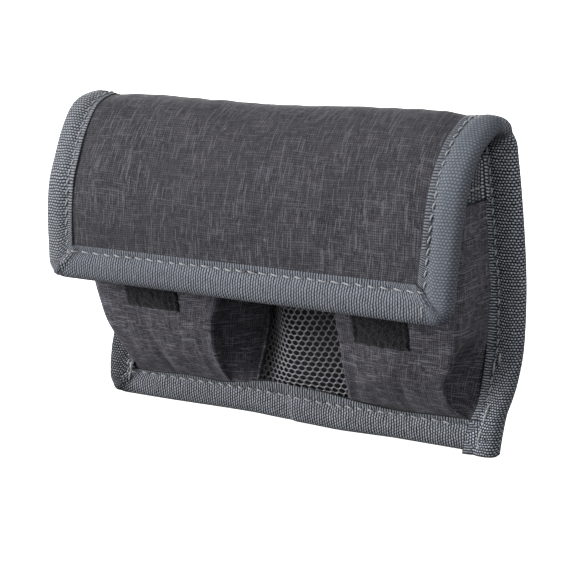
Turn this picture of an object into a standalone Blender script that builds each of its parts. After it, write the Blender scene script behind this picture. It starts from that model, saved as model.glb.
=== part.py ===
"""Two-pocket camera battery pouch: a padded back panel whose top folds over into a flap.

The pouch stands on its bottom edge, its front faces -Y and +Z is up. Every sheet of cloth,
foam, tape and mesh is its own object. A flap point is found from its place across the
flap (x), its distance along the cloth from the hinge (s) and its height off the middle of the cloth (h).
"""

from math import cos, pi, radians, sin, sqrt

import bpy
import numpy as np

# Driving sizes of the panel, in metres
PANEL_BOTTOM_WIDTH = 0.1246
PANEL_TOP_WIDTH = 0.1268
PANEL_SIDE_BOW = 0.0032
FOLD_HEIGHT = 0.0850
CORNER_RADIUS = 0.0050

# Cloth, foam and tape thicknesses
COVER_THICKNESS = 0.0006
FOAM_THICKNESS = 0.0016
LINING_THICKNESS = 0.0004
TAPE_THICKNESS = 0.0006
POCKET_CLOTH_THICKNESS = 0.0010
PATCH_THICKNESS = 0.0012
NET_STRAND = 0.0006
THREAD_RADIUS = 0.00025
LAYER_GAP = 0.0003

# Binding tape, folded over every edge
TAPE_FLANGE = 0.0096
TAPE_NOSE_FLAT = 0.0011
TAPE_SHOULDER = 0.0016
STITCH_INSET = 0.0022
FOAM_EDGE_INSET = 0.0015

# Flap: a tight fold, a short flat top, a wide shoulder and a leaning front
FLAP_FRONT_WIDTH = 0.1219
FOLD_RADIUS = 0.0034
FOLD_TURN_DEG = 100.0
FLAP_TOP_RUN = 0.0030
SHOULDER_RADIUS = 0.0230
SHOULDER_TURN_DEG = 72.0
FLAP_FRONT_RUN = 0.0260
HINGE_GAP = 0.0007
FLAP_THREAD_START = 0.0020

# Battery pockets: the outer foot follows the side tape, the rest is set here
SEAM_HEIGHT = 0.0104
MOUTH_BELOW_FOLD = 0.0055
MOUTH_FALL = 0.0070
POCKET_DEPTH = 0.0190
POCKET_MOUTH_SHARE = 0.87
OUTER_PINCH = 0.0045
LEFT_FRONT_EDGE_LOW = 0.0179
LEFT_FRONT_EDGE_HIGH = 0.0100
LEFT_DIVIDER_LOW = 0.0090
LEFT_DIVIDER_HIGH = 0.0010
RIGHT_FRONT_EDGE_LOW = 0.0192
RIGHT_FRONT_EDGE_HIGH = 0.0180
RIGHT_DIVIDER_LOW = 0.0186
RIGHT_DIVIDER_HIGH = 0.0120
HEM_WIDTH = 0.0100

# Net between the pockets
NET_CLEARANCE = 0.0014
NET_DEPTH = 0.0085
NET_BELOW_MOUTH = 0.0135
NET_HEM_HEIGHT = 0.0060

# Hook and loop patches
PATCH_WIDTH = 0.0165
PATCH_FROM_EDGE = 0.0284
LOOP_BELOW_MOUTH = 0.0195
LOOP_LENGTH = 0.0274
HOOK_LENGTH = 0.0180
HOOK_TO_TAPE = 0.0010

# Counts of faces
ARC_STEP_DEG = 18.0
SHARP_ANGLE_DEG = 35.0
CORNER_STEPS = 3
PANEL_STEPS = 6
SECTION_STEPS = 14
NET_COLUMNS = 10
NET_ROWS = 30
PATCH_ROWS = 5
SEARCH_STEPS = 60

# Front of a pocket: depth reached (share of POCKET_DEPTH) at each height (share of pocket height)
DEPTH_SHARES = ((0.0, 0.14), (0.06, 0.32), (0.14, 0.58), (0.24, 0.78), (0.34, 0.92), (0.48, 1.0), (0.72, 1.0))
# Outer pinch at the bottom seam, let out with height
PINCH_SHARES = ((0.0, 1.0), (0.14, 0.9), (0.24, 0.5), (0.36, 0.1), (0.5, 0.0), (1.0, 0.0))
# Where a pocket's section turns: down its outer wall, across its front and back along its gusset
OUTER_WALL_SHARE = 0.35
OUTER_TURN_SHARE = 0.75
FRONT_OUTER_SHARE = 0.30
FRONT_INNER_SHARE = 0.25
GUSSET_FRONT_SHARE = 0.80
GUSSET_BACK_SHARE = 0.30
# Bulge of the net, of NET_DEPTH
NET_SHARES = ((0.0, 0.12), (0.15, 0.5), (0.35, 0.9), (0.55, 1.0), (1.0, 0.85))

# Worked-out sizes
HALF_PANEL = (COVER_THICKNESS + FOAM_THICKNESS + LINING_THICKNESS) / 2 + LAYER_GAP
COVER_OFFSET = HALF_PANEL - COVER_THICKNESS / 2
LINING_OFFSET = LINING_THICKNESS / 2 - HALF_PANEL
FOAM_OFFSET = LINING_OFFSET + LINING_THICKNESS / 2 + LAYER_GAP + FOAM_THICKNESS / 2
TAPE_OFFSET = HALF_PANEL + LAYER_GAP + TAPE_THICKNESS / 2
EDGE_OUT = TAPE_OFFSET + TAPE_THICKNESS / 2
SIDE_TAPE_LIFT = TAPE_THICKNESS / 2 + LAYER_GAP / 2
THREAD_OFFSET = EDGE_OUT + LAYER_GAP + THREAD_RADIUS
PANEL_INSET = TAPE_SHOULDER + TAPE_THICKNESS / 2 + LAYER_GAP / 2
PANEL_TOP = FOLD_HEIGHT - HINGE_GAP
FOLD_LENGTH = FOLD_RADIUS * radians(FOLD_TURN_DEG)
SHOULDER_LENGTH = SHOULDER_RADIUS * radians(SHOULDER_TURN_DEG)
SHOULDER_START = FOLD_LENGTH + FLAP_TOP_RUN
FRONT_START = SHOULDER_START + SHOULDER_LENGTH
FLAP_LENGTH = FRONT_START + FLAP_FRONT_RUN
MOUTH_HEIGHT = FOLD_HEIGHT - MOUTH_BELOW_FOLD
NET_TOP = MOUTH_HEIGHT - NET_BELOW_MOUTH
PATCH_CENTRE = PANEL_TOP_WIDTH / 2 - PATCH_FROM_EDGE
LOOP_TOP = MOUTH_HEIGHT - LOOP_BELOW_MOUTH
HALF_CLOTH = POCKET_CLOTH_THICKNESS / 2
POCKET_FOOT = HALF_PANEL + LAYER_GAP + HALF_CLOTH
HEM_OFFSET = HALF_CLOTH + LAYER_GAP + TAPE_THICKNESS / 2
PATCH_OFFSET = HALF_CLOTH + LAYER_GAP + PATCH_THICKNESS / 2
HOOK_OFFSET = HALF_PANEL + LAYER_GAP + PATCH_THICKNESS / 2
HINGE_Y = EDGE_OUT
HINGE_Z = FOLD_HEIGHT


def clear_scene():
    for obj in list(bpy.data.objects):
        bpy.data.objects.remove(obj, do_unlink=True)


def material(name, colour, roughness):
    """A cloth or foam finish: a Principled BSDF with no metal in it."""
    made = bpy.data.materials.new(name)
    made.use_nodes = True
    shader = made.node_tree.nodes["Principled BSDF"]
    shader.inputs["Base Color"].default_value = (*colour, 1.0)
    shader.inputs["Roughness"].default_value = roughness
    shader.inputs["Metallic"].default_value = 0.0
    made.diffuse_color = (*colour, 1.0)
    return made


def shares_at(shares, along):
    """The value of a table of shares at one place along it, straight between its rows."""
    places, values = zip(*shares)
    return float(np.interp(along, places, values))


def flap_heading(s):
    """(y, z, turn): a point of the flap's middle surface, s along it, and how far it has turned."""
    fold = radians(FOLD_TURN_DEG)
    end = fold + radians(SHOULDER_TURN_DEG)
    turn = min(max(s, 0.0) / FOLD_RADIUS, fold)
    y = FOLD_RADIUS * (cos(turn) - 1.0)
    z = FOLD_HEIGHT + FOLD_RADIUS * sin(turn)
    run = min(max(s - FOLD_LENGTH, 0.0), FLAP_TOP_RUN)
    y -= run * sin(fold)
    z += run * cos(fold)
    if s > SHOULDER_START:
        turn = min(fold + (s - SHOULDER_START) / SHOULDER_RADIUS, end)
        y += SHOULDER_RADIUS * (cos(turn) - cos(fold))
        z += SHOULDER_RADIUS * (sin(turn) - sin(fold))
    run = max(s - FRONT_START, 0.0)
    return y - run * sin(end), z + run * cos(end), turn


def flap_point(x, s, h):
    """A point of the flap, from the hinge, for the flap's objects hang on an empty there."""
    y, z, turn = flap_heading(s)
    return x, y + h * cos(turn) - HINGE_Y, z + h * sin(turn) - HINGE_Z


def flap_half_width(s):
    along = s / FLAP_LENGTH
    return (PANEL_TOP_WIDTH * (1.0 - along) + FLAP_FRONT_WIDTH * along) / 2


def panel_half_width(z):
    along = z / FOLD_HEIGHT
    straight = PANEL_BOTTOM_WIDTH * (1.0 - along) + PANEL_TOP_WIDTH * along
    return straight / 2 + PANEL_SIDE_BOW * 4 * along * (1.0 - along)


def corner_loss(past, radius):
    """How far a round corner draws the side in, this far past the corner's start."""
    past = min(max(past, 0.0), radius)
    return radius - sqrt(radius * radius - past * past)


def corner_places(radius):
    """Distances past the corner's start that cut its quarter circle into equal turns."""
    return [radius * sin(pi / 2 * k / CORNER_STEPS) for k in range(CORNER_STEPS + 1)]


def flap_stations(start, end):
    """Distances along the flap where its surface needs a row of points."""
    fold_steps = round(FOLD_TURN_DEG / ARC_STEP_DEG)
    shoulder_steps = round(SHOULDER_TURN_DEG / ARC_STEP_DEG) + 1
    rows = [FOLD_LENGTH * k / fold_steps for k in range(fold_steps + 1)]
    rows += [SHOULDER_START + SHOULDER_LENGTH * k / shoulder_steps for k in range(shoulder_steps + 1)]
    inner = [s for s in rows if start < s < end]
    return [start, *inner, end]


def object_of(name, mesh, group, finish, parent):
    mesh.materials.append(finish)
    mesh.shade_smooth()
    mesh.set_sharp_from_angle(angle=radians(SHARP_ANGLE_DEG))
    obj = bpy.data.objects.new(name, mesh)
    group.objects.link(obj)
    obj.parent = parent
    return obj


def sheet(name, rows, thickness, group, finish, parent):
    """An open surface through rows of points, given its thickness by Solidify."""
    points = np.array(rows, dtype=float)
    count, width = points.shape[:2]
    index = np.arange(count * width).reshape(count, width)
    faces = np.stack([index[:-1, :-1], index[:-1, 1:], index[1:, 1:], index[1:, :-1]], axis=-1)
    mesh = bpy.data.meshes.new(name)
    mesh.from_pydata(points.reshape(-1, 3).tolist(), [], faces.reshape(-1, 4).tolist())
    obj = object_of(name, mesh, group, finish, parent)
    solid = obj.modifiers.new("thickness", "SOLIDIFY")
    solid.thickness = thickness
    solid.offset = 0.0
    solid.use_quality_normals = True
    return obj


def thread(name, points, group, finish, parent):
    """A seam's sewing thread, as one thin run just proud of the tape."""
    data = bpy.data.curves.new(name, "CURVE")
    data.dimensions = "3D"
    data.bevel_depth = THREAD_RADIUS
    data.bevel_resolution = 0
    data.use_fill_caps = True
    spline = data.splines.new("POLY")
    spline.points.add(len(points) - 1)
    for place, point in zip(spline.points, points):
        place.co = (*point, 1.0)
    obj = bpy.data.objects.new(name, data)
    data.materials.append(finish)
    group.objects.link(obj)
    obj.parent = parent
    return obj


def tape_section():
    """(inset from the edge, height off the middle) of a tape folded over an edge."""
    nose = TAPE_THICKNESS / 2
    half = [(TAPE_FLANGE, TAPE_OFFSET), (TAPE_SHOULDER, TAPE_OFFSET), (nose, TAPE_NOSE_FLAT)]
    return half + [(inset, -height) for inset, height in reversed(half)]


def add_back_panel(group, finishes, parent):
    layers = (
        ("back_cover", COVER_OFFSET, COVER_THICKNESS, 0.0, finishes["heather"]),
        ("back_foam", FOAM_OFFSET, FOAM_THICKNESS, FOAM_EDGE_INSET, finishes["foam"]),
        ("back_lining", LINING_OFFSET, LINING_THICKNESS, 0.0, finishes["lining"]),
    )
    for name, offset, thickness, extra, finish in layers:
        inset = PANEL_INSET + extra
        radius = CORNER_RADIUS - PANEL_INSET
        low = inset
        heights = [low + radius - past for past in reversed(corner_places(radius))]
        rest = (PANEL_TOP - low - radius) / PANEL_STEPS
        heights += [low + radius + rest * (k + 1) for k in range(PANEL_STEPS)]
        rows = []
        for z in heights:
            half = panel_half_width(z) - inset - corner_loss(low + radius - z, radius)
            rows.append([(-half, offset, z), (0.0, offset, z), (half, offset, z)])
        sheet(name, rows, thickness, group, finish, parent)


def side_tape_inner(z):
    return panel_half_width(z) - TAPE_FLANGE


def add_side_bindings(group, finishes, parent):
    """Tape down each side of the panel and round its bottom corner."""
    start = CORNER_RADIUS + SIDE_TAPE_LIFT
    heights = [start - past for past in reversed(corner_places(CORNER_RADIUS))]
    rest = (PANEL_TOP - start) / PANEL_STEPS
    heights += [start + rest * (k + 1) for k in range(PANEL_STEPS)]
    for side, sign in (("left", -1.0), ("right", 1.0)):
        rows = []
        for z in heights:
            lost = corner_loss(start - z, CORNER_RADIUS)
            row = []
            for inset, height in tape_section():
                drawn = 0.0 if inset == TAPE_FLANGE else lost
                row.append((sign * (panel_half_width(z) - inset - drawn), height, z))
            rows.append(row)
        sheet(f"side_binding_{side}", rows, TAPE_THICKNESS, group, finishes["tape"], parent)
        run = [
            (sign * (side_tape_inner(z) + STITCH_INSET), -THREAD_OFFSET, z)
            for z in np.linspace(CORNER_RADIUS, PANEL_TOP - LAYER_GAP, PANEL_STEPS + 1)
        ]
        thread(f"side_thread_{side}", run, group, finishes["thread"], parent)


def add_bottom_binding(group, finishes, parent):
    """Tape over the bottom edge, between the side tapes."""
    stations = np.linspace(-1.0, 1.0, PANEL_STEPS + 1)
    rows = [
        [
            (along * (side_tape_inner(inset) - LAYER_GAP), height, inset)
            for inset, height in tape_section()
        ]
        for along in stations
    ]
    sheet("bottom_binding", rows, TAPE_THICKNESS, group, finishes["tape"], parent)
    z = TAPE_FLANGE - STITCH_INSET
    reach = side_tape_inner(z) - STITCH_INSET
    run = [(along * reach, -THREAD_OFFSET, z) for along in stations]
    thread("bottom_thread", run, group, finishes["thread"], parent)


def add_flap_layers(group, finishes, parent):
    layers = (
        ("flap_cover", COVER_OFFSET, COVER_THICKNESS, 0.0, finishes["heather"]),
        ("flap_foam", FOAM_OFFSET, FOAM_THICKNESS, FOAM_EDGE_INSET, finishes["foam"]),
        ("flap_lining", LINING_OFFSET, LINING_THICKNESS, 0.0, finishes["lining"]),
    )
    for name, offset, thickness, extra, finish in layers:
        inset = PANEL_INSET + extra
        end = FLAP_LENGTH - inset
        radius = CORNER_RADIUS - PANEL_INSET
        rows = []
        stations = flap_stations(0.0, end - radius)
        stations += [end - radius + past for past in corner_places(radius)[1:]]
        for s in stations:
            half = flap_half_width(s) - inset - corner_loss(s - end + radius, radius)
            rows.append([flap_point(x, s, offset) for x in (-half, 0.0, half)])
        sheet(name, rows, thickness, group, finish, parent)


def flap_edge_places(inset):
    """(x, s) round the flap's free edge, this far in from it: left side, front, right side."""
    round_radius = max(CORNER_RADIUS - inset, THREAD_RADIUS * 2)
    front = FLAP_LENGTH - inset
    side = [(flap_half_width(s) - inset, s) for s in flap_stations(0.0, FLAP_LENGTH - TAPE_FLANGE - STITCH_INSET)]
    corner_x = flap_half_width(front) - inset - round_radius
    corner_s = front - round_radius
    turns = [pi / 2 * k / CORNER_STEPS for k in range(CORNER_STEPS + 1)]
    corner = [(corner_x + round_radius * cos(turn), corner_s + round_radius * sin(turn)) for turn in turns]
    right = side + corner
    return [(-x, s) for x, s in right] + [(x, s) for x, s in reversed(right)]


def add_flap_binding(group, finishes, parent):
    """One tape down the left side, along the front edge and up the right side."""
    columns = []
    for inset, height in tape_section():
        columns.append([flap_point(x, s, height) for x, s in flap_edge_places(inset)])
    rows = [list(row) for row in zip(*columns)]
    sheet("flap_binding", rows, TAPE_THICKNESS, group, finishes["tape"], parent)
    seam = flap_edge_places(TAPE_FLANGE - STITCH_INSET)
    run = [flap_point(x, s, THREAD_OFFSET) for x, s in seam if s > FLAP_THREAD_START]
    thread("flap_thread", run, group, finishes["thread"], parent)


def add_hook_patches(group, finishes, parent):
    end = FLAP_LENGTH - TAPE_FLANGE - HOOK_TO_TAPE
    stations = flap_stations(end - HOOK_LENGTH, end)
    for side, sign in (("left", -1.0), ("right", 1.0)):
        edges = (sign * PATCH_CENTRE - PATCH_WIDTH / 2, sign * PATCH_CENTRE + PATCH_WIDTH / 2)
        rows = [[flap_point(x, s, -HOOK_OFFSET) for x in edges] for s in stations]
        sheet(f"hook_patch_{side}", rows, PATCH_THICKNESS, group, finishes["patch"], parent)


def pocket_edges(side, along):
    """(front inner edge, divider) of a pocket at a share of its height, from the middle of the pouch."""
    low = {"left": (LEFT_FRONT_EDGE_LOW, LEFT_DIVIDER_LOW), "right": (RIGHT_FRONT_EDGE_LOW, RIGHT_DIVIDER_LOW)}
    high = {"left": (LEFT_FRONT_EDGE_HIGH, LEFT_DIVIDER_HIGH), "right": (RIGHT_FRONT_EDGE_HIGH, RIGHT_DIVIDER_HIGH)}
    return tuple(a + (b - a) * along for a, b in zip(low[side], high[side]))


def pocket_depth(along):
    shares = (*DEPTH_SHARES, (1.0, POCKET_MOUTH_SHARE))
    return POCKET_DEPTH * shares_at(shares, along)


def spline_through(corners, count):
    """Points of a uniform cubic B-spline on these corners, clamped to its first and last."""
    corners = np.array(corners, dtype=float)
    padded = np.vstack([2 * corners[0] - corners[1], corners, 2 * corners[-1] - corners[-2]])
    spans = len(padded) - 3
    place = np.linspace(0.0, spans, count)
    start = np.minimum(place.astype(int), spans - 1)
    t = (place - start)[:, None]
    a, b, c, d = (padded[start + k] for k in range(4))
    return (
        (1 - t) ** 3 * a + (3 * t**3 - 6 * t**2 + 4) * b + (-3 * t**3 + 3 * t**2 + 3 * t + 1) * c + t**3 * d
    ) / 6


def pocket_section(side, along, count):
    """(x, y) round a pocket at a share of its height, from the side tape to the divider."""
    z = SEAM_HEIGHT + (MOUTH_HEIGHT - SEAM_HEIGHT) * along
    outer = side_tape_inner(z) - LAYER_GAP - HALF_CLOTH
    pinched = outer - OUTER_PINCH * shares_at(PINCH_SHARES, along)
    edge, divider = pocket_edges(side, along)
    depth = pocket_depth(along)
    reach = depth - POCKET_FOOT
    corners = [
        (outer, -POCKET_FOOT),
        (outer, -POCKET_FOOT - reach * OUTER_WALL_SHARE),
        (pinched, -POCKET_FOOT - reach * OUTER_TURN_SHARE),
        (pinched, -depth),
        (pinched - (pinched - edge) * FRONT_OUTER_SHARE, -depth),
        (edge + (pinched - edge) * FRONT_INNER_SHARE, -depth),
        (edge, -depth),
        (edge, -POCKET_FOOT - reach * GUSSET_FRONT_SHARE),
        (divider + (edge - divider) * GUSSET_BACK_SHARE, -POCKET_FOOT - reach * GUSSET_BACK_SHARE),
        (divider, -POCKET_FOOT),
    ]
    return spline_through(corners, count)


def pocket_grid(side, shares, count):
    """Rows of points of a pocket's middle surface, from the bottom seam to the mouth."""
    sign = -1.0 if side == "left" else 1.0
    rows = []
    for along in shares:
        section = pocket_section(side, along, count)
        fall = MOUTH_FALL * (-section[:, 1] - POCKET_FOOT) / POCKET_DEPTH
        z = SEAM_HEIGHT + (MOUTH_HEIGHT - SEAM_HEIGHT - fall) * along
        rows.append(np.column_stack([sign * section[:, 0], section[:, 1], z]))
    return np.array(rows)


def outward(grid, sign):
    """Steps of one unit out of the pocket, mitred between the faces on each side of a point."""
    ahead = np.diff(grid, axis=1)
    ahead /= np.linalg.norm(ahead, axis=2, keepdims=True)
    before = np.concatenate([ahead[:, :1], ahead], axis=1)
    after = np.concatenate([ahead, ahead[:, -1:]], axis=1)
    along = before + after
    mitre = 2 / np.linalg.norm(along, axis=2, keepdims=True)
    normal = np.cross(np.gradient(grid, axis=0), along) * sign
    return normal / np.linalg.norm(normal, axis=2, keepdims=True) * mitre


def front_depth(front, x, z):
    """y of a pocket's front at a place on it, straight between the points of its grid."""
    columns = [front[:, i] for i in reversed(range(front.shape[1]))]
    places = [np.interp(z, column[:, 2], np.abs(column[:, 0])) for column in columns]
    depths = [np.interp(z, column[:, 2], column[:, 1]) for column in columns]
    return float(np.interp(x, places, depths))


def pocket_levels():
    return [along for along, _ in DEPTH_SHARES] + [1.0]


def add_pockets(group, finishes, parent):
    for side, sign in (("left", -1.0), ("right", 1.0)):
        grid = pocket_grid(side, pocket_levels(), SECTION_STEPS)
        sheet(f"pocket_{side}", grid, POCKET_CLOTH_THICKNESS, group, finishes["heather"], parent)
        add_pocket_hem(side, sign, group, finishes, parent)
        add_loop_patch(side, sign, group, finishes, parent)


def add_pocket_hem(side, sign, group, finishes, parent):
    """Tape folded over a pocket's mouth."""
    height = MOUTH_HEIGHT - SEAM_HEIGHT
    shares = (1.0 - HEM_WIDTH / height, 1.0)
    grid = pocket_grid(side, shares, SECTION_STEPS)[:, 1:-1]
    away = outward(grid, sign) * HEM_OFFSET
    rim = grid[1] + np.array([0.0, 0.0, LAYER_GAP + TAPE_THICKNESS])
    outside = [grid[0] + away[0], grid[1] + away[1], rim + away[1] / 2]
    inside = [rim - away[1] / 2, grid[1] - away[1], grid[0] - away[0]]
    rows = np.array(outside + inside)
    sheet(f"pocket_hem_{side}", rows, TAPE_THICKNESS, group, finishes["tape"], parent)


def add_loop_patch(side, sign, group, finishes, parent):
    """Loop tape on the front of a pocket."""
    grid = pocket_grid(side, pocket_levels(), SEARCH_STEPS + 1)
    away = grid + outward(grid, sign) * PATCH_OFFSET
    front = away[:, SEARCH_STEPS // 4 : 3 * SEARCH_STEPS // 4]
    across = (PATCH_CENTRE - PATCH_WIDTH / 2, PATCH_CENTRE, PATCH_CENTRE + PATCH_WIDTH / 2)
    rows = []
    for z in np.linspace(LOOP_TOP - LOOP_LENGTH, LOOP_TOP, PATCH_ROWS + 1):
        rows.append([(sign * x, front_depth(front, x, z), z) for x in across])
    sheet(f"loop_patch_{side}", rows, PATCH_THICKNESS, group, finishes["patch"], parent)


def net_point(across, along):
    """A point of the bulging net, by its shares of the way across and up."""
    left = NET_CLEARANCE - pocket_edges("left", along)[1]
    right = pocket_edges("right", along)[1] - NET_CLEARANCE
    bulge = NET_DEPTH * shares_at(NET_SHARES, along) * sqrt(max(1.0 - (2 * across - 1.0) ** 2, 0.0))
    z = SEAM_HEIGHT + (NET_TOP - SEAM_HEIGHT) * along
    return left + (right - left) * across, -HALF_PANEL - LAYER_GAP - NET_STRAND - bulge, z


def add_net(group, finishes, parent):
    """Air mesh between the pockets: a lattice of diamonds with half diamonds at its edges."""
    mesh = bpy.data.meshes.new("mesh_panel")
    number = {}
    points = []
    for j in range(NET_ROWS + 1):
        for i in range(NET_COLUMNS + 1):
            if (i + j) % 2 == 0:
                number[i, j] = len(points)
                points.append(net_point(i / NET_COLUMNS, j / NET_ROWS))
    faces = []
    for j in range(NET_ROWS + 1):
        for i in range(NET_COLUMNS + 1):
            around = ((i - 1, j), (i, j - 1), (i + 1, j), (i, j + 1))
            if (i + j) % 2:
                faces.append([number[place] for place in around if place in number])
    mesh.from_pydata(points, [], [face for face in faces if len(face) > 2])
    net = object_of("mesh_panel", mesh, group, finishes["net"], parent)
    strands = net.modifiers.new("strands", "WIREFRAME")
    strands.thickness = NET_STRAND
    strands.use_boundary = True
    strands.use_even_offset = False
    shares = np.linspace(0.0, 1.0, NET_COLUMNS + 1)
    front = np.array([net_point(across, 1.0) for across in shares])
    low = np.array([0.0, 0.0, LAYER_GAP + NET_STRAND])
    rows = [front + low, front + low + np.array([0.0, 0.0, NET_HEM_HEIGHT])]
    sheet("mesh_hem", rows, 2 * TAPE_THICKNESS, group, finishes["tape"], parent)


def stand_on_origin(group, pouch):
    """Puts the middle of the pouch's footprint over the origin."""
    bpy.context.view_layer.update()
    depsgraph = bpy.context.evaluated_depsgraph_get()
    reach = []
    for obj in group.objects:
        if obj.type != "EMPTY":
            made = obj.evaluated_get(depsgraph)
            reach += [(made.matrix_world @ vertex.co).y for vertex in made.to_mesh().vertices]
    pouch.location.y = -(min(reach) + max(reach)) / 2


def main():
    clear_scene()
    group = bpy.data.collections.new("camera_battery_pouch")
    bpy.context.scene.collection.children.link(group)
    finishes = {
        "heather": material("heather_cloth", (0.085, 0.080, 0.086), 0.85),
        "foam": material("foam", (0.16, 0.16, 0.165), 0.95),
        "lining": material("lining_cloth", (0.05, 0.05, 0.055), 0.8),
        "tape": material("binding_tape", (0.185, 0.215, 0.245), 0.7),
        "patch": material("hook_and_loop", (0.022, 0.022, 0.025), 0.95),
        "net": material("air_mesh", (0.16, 0.15, 0.145), 0.8),
        "thread": material("sewing_thread", (0.42, 0.42, 0.43), 0.6),
    }
    pouch = bpy.data.objects.new("pouch_frame", None)
    group.objects.link(pouch)
    flap = bpy.data.objects.new("flap_hinge", None)
    group.objects.link(flap)
    flap.parent = pouch
    flap.location = (0.0, HINGE_Y, HINGE_Z)
    add_back_panel(group, finishes, pouch)
    add_side_bindings(group, finishes, pouch)
    add_bottom_binding(group, finishes, pouch)
    add_pockets(group, finishes, pouch)
    add_net(group, finishes, pouch)
    add_flap_layers(group, finishes, flap)
    add_flap_binding(group, finishes, flap)
    add_hook_patches(group, finishes, flap)
    stand_on_origin(group, pouch)


main()
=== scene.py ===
"""Camera battery pouch: a padded heather panel that folds over the top into a flap.

Ribbed tape is folded over every edge and stitched down. Two bulging battery pockets with
loop patches stand on the panel's inner side, with an open net between them. Lengths are in
metres. +X is to the right seen from the front, the front faces -Y and +Z is up.
"""

import logging
from dataclasses import dataclass
from enum import Enum
from math import cos, pi, radians, sin

import bpy
import numpy as np
from mathutils import Matrix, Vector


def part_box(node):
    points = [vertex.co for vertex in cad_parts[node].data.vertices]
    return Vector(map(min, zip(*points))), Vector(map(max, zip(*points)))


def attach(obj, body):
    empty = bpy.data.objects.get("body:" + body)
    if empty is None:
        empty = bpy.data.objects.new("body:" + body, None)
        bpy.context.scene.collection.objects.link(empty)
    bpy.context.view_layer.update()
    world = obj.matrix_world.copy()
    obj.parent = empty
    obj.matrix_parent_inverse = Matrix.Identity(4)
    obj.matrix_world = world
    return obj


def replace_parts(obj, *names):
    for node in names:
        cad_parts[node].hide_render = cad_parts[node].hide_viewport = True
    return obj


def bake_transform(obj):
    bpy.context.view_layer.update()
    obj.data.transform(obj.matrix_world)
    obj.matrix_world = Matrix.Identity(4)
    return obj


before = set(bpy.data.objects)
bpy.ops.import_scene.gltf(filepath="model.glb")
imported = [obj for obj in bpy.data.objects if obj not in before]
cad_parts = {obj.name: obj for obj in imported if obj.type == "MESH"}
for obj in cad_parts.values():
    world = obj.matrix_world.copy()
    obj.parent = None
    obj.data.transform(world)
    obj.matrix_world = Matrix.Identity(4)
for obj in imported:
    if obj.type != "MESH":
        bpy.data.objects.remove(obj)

MM = 0.001
LOG = logging.getLogger("battery_pouch")
Array = np.ndarray
# Places of a stitch's points along it.
STITCH_SHARE = np.linspace(0.0, 1.0, 7)


class Side(Enum):
    """The two halves of the pouch, seen from the front."""

    LEFT = "left"
    RIGHT = "right"

    @property
    def sign(self) -> float:
        """The sign of x on this half."""
        return -1.0 if self is Side.LEFT else 1.0


class Body(Enum):
    """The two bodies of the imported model."""

    POUCH = "pouch"
    FLAP = "flap"


def eased(share: Array) -> Array:
    """Turns a straight ramp into one that starts and ends level: 3t^2 - 2t^3 on t held to 0..1.

    Args:
        share: Places along the ramp.

    Returns:
        The eased values, from 0 to 1.
    """
    held = np.clip(share, 0.0, 1.0)
    return held * held * (3.0 - 2.0 * held)


def bell(distance: Array, width: float) -> Array:
    """A bump of height 1 that falls off as exp(-(distance / width)^2).

    Args:
        distance: Distances from the bump's middle.
        width: The distance at which it has fallen to about a third.

    Returns:
        The bump's height at each distance.
    """
    return np.exp(-((distance / width) ** 2))


def through(table: tuple, places: Array) -> Array:
    """A smooth curve through a table of (place, value) rows.

    Each stretch is the cubic that leaves and meets its ends with the mean slope of the
    stretches on either side, held so that it never overshoots its ends.

    Args:
        table: Rows of place and value, in rising order of place.
        places: Where the curve is read.

    Returns:
        The curve's values.
    """
    x, y = np.array(table, dtype=float).T
    slope = np.diff(y) / np.diff(x)
    ahead = np.concatenate([slope, slope[-1:]])
    behind = np.concatenate([slope[:1], slope])
    lean = np.where(ahead * behind > 0.0, (ahead + behind) / 2, 0.0)
    lean = np.sign(lean) * np.minimum(np.abs(lean), 2.5 * np.minimum(np.abs(ahead), np.abs(behind)))
    held = np.clip(places, x[0], x[-1])
    i = np.clip(np.searchsorted(x, held, side="right") - 1, 0, len(x) - 2)
    step = x[i + 1] - x[i]
    t = (held - x[i]) / step
    start = (1 + 2 * t) * (1 - t) ** 2 * y[i] + t * (1 - t) ** 2 * step * lean[i]
    return start + t * t * (3 - 2 * t) * y[i + 1] + t * t * (t - 1) * step * lean[i + 1]


def stacked(*parts: Array) -> Array:
    """Several measures of one grid, side by side in a new last axis."""
    return np.stack(np.broadcast_arrays(*parts), axis=-1)


def running(line: Array) -> Array:
    """The length along a line to each of its points, from 0."""
    return np.concatenate([[0.0], np.cumsum(np.linalg.norm(np.diff(line, axis=0), axis=1))])


def read_line(at: Array, places: Array, line: Array) -> Array:
    """3-D values along a line, read at new places between the given ones."""
    return np.stack([np.interp(at, places, line[:, k]) for k in range(3)], axis=-1)


def curve_through(points: tuple, count: int) -> tuple[Array, Array]:
    """A Catmull-Rom curve through flat points, with its running length.

    Args:
        points: The points of the curve, each (y, z).
        count: How many steps each stretch is cut into.

    Returns:
        The curve's points and the length along it to each of them.
    """
    given = np.array(points, dtype=float)
    padded = np.vstack([2 * given[0] - given[1], given, 2 * given[-1] - given[-2]])
    t = np.linspace(0.0, 1.0, count, endpoint=False)[None, :, None]
    a, b, c, d = (padded[k : len(given) - 1 + k][:, None] for k in range(4))
    run = 0.5 * (2 * b + (c - a) * t + (2 * a - 5 * b + 4 * c - d) * t**2 + (3 * b - a - 3 * c + d) * t**3)
    line = np.vstack([run.reshape(-1, 2), given[-1:]])
    return line, running(line)


def rumple(u: Array, v: Array, seed: int, wave: float, count: int = 9) -> Array:
    """Soft uneven ripples: a mean of sine waves with seeded directions, lengths and phases.

    Args:
        u: First coordinate of each place.
        v: Second coordinate of each place.
        seed: Which pattern is made.
        wave: The usual length of a wave.
        count: How many waves are added.

    Returns:
        Heights, mostly between -1 and 1.
    """
    rng = np.random.default_rng(seed)
    total = np.zeros(np.broadcast(u, v).shape)
    for _ in range(count):
        turn, phase = rng.uniform(0.0, 2 * pi, 2)
        length = wave * rng.uniform(0.6, 1.7)
        total = total + np.sin(2 * pi * (u * cos(turn) + v * sin(turn)) / length + phase)
    return total / np.sqrt(count)


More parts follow.
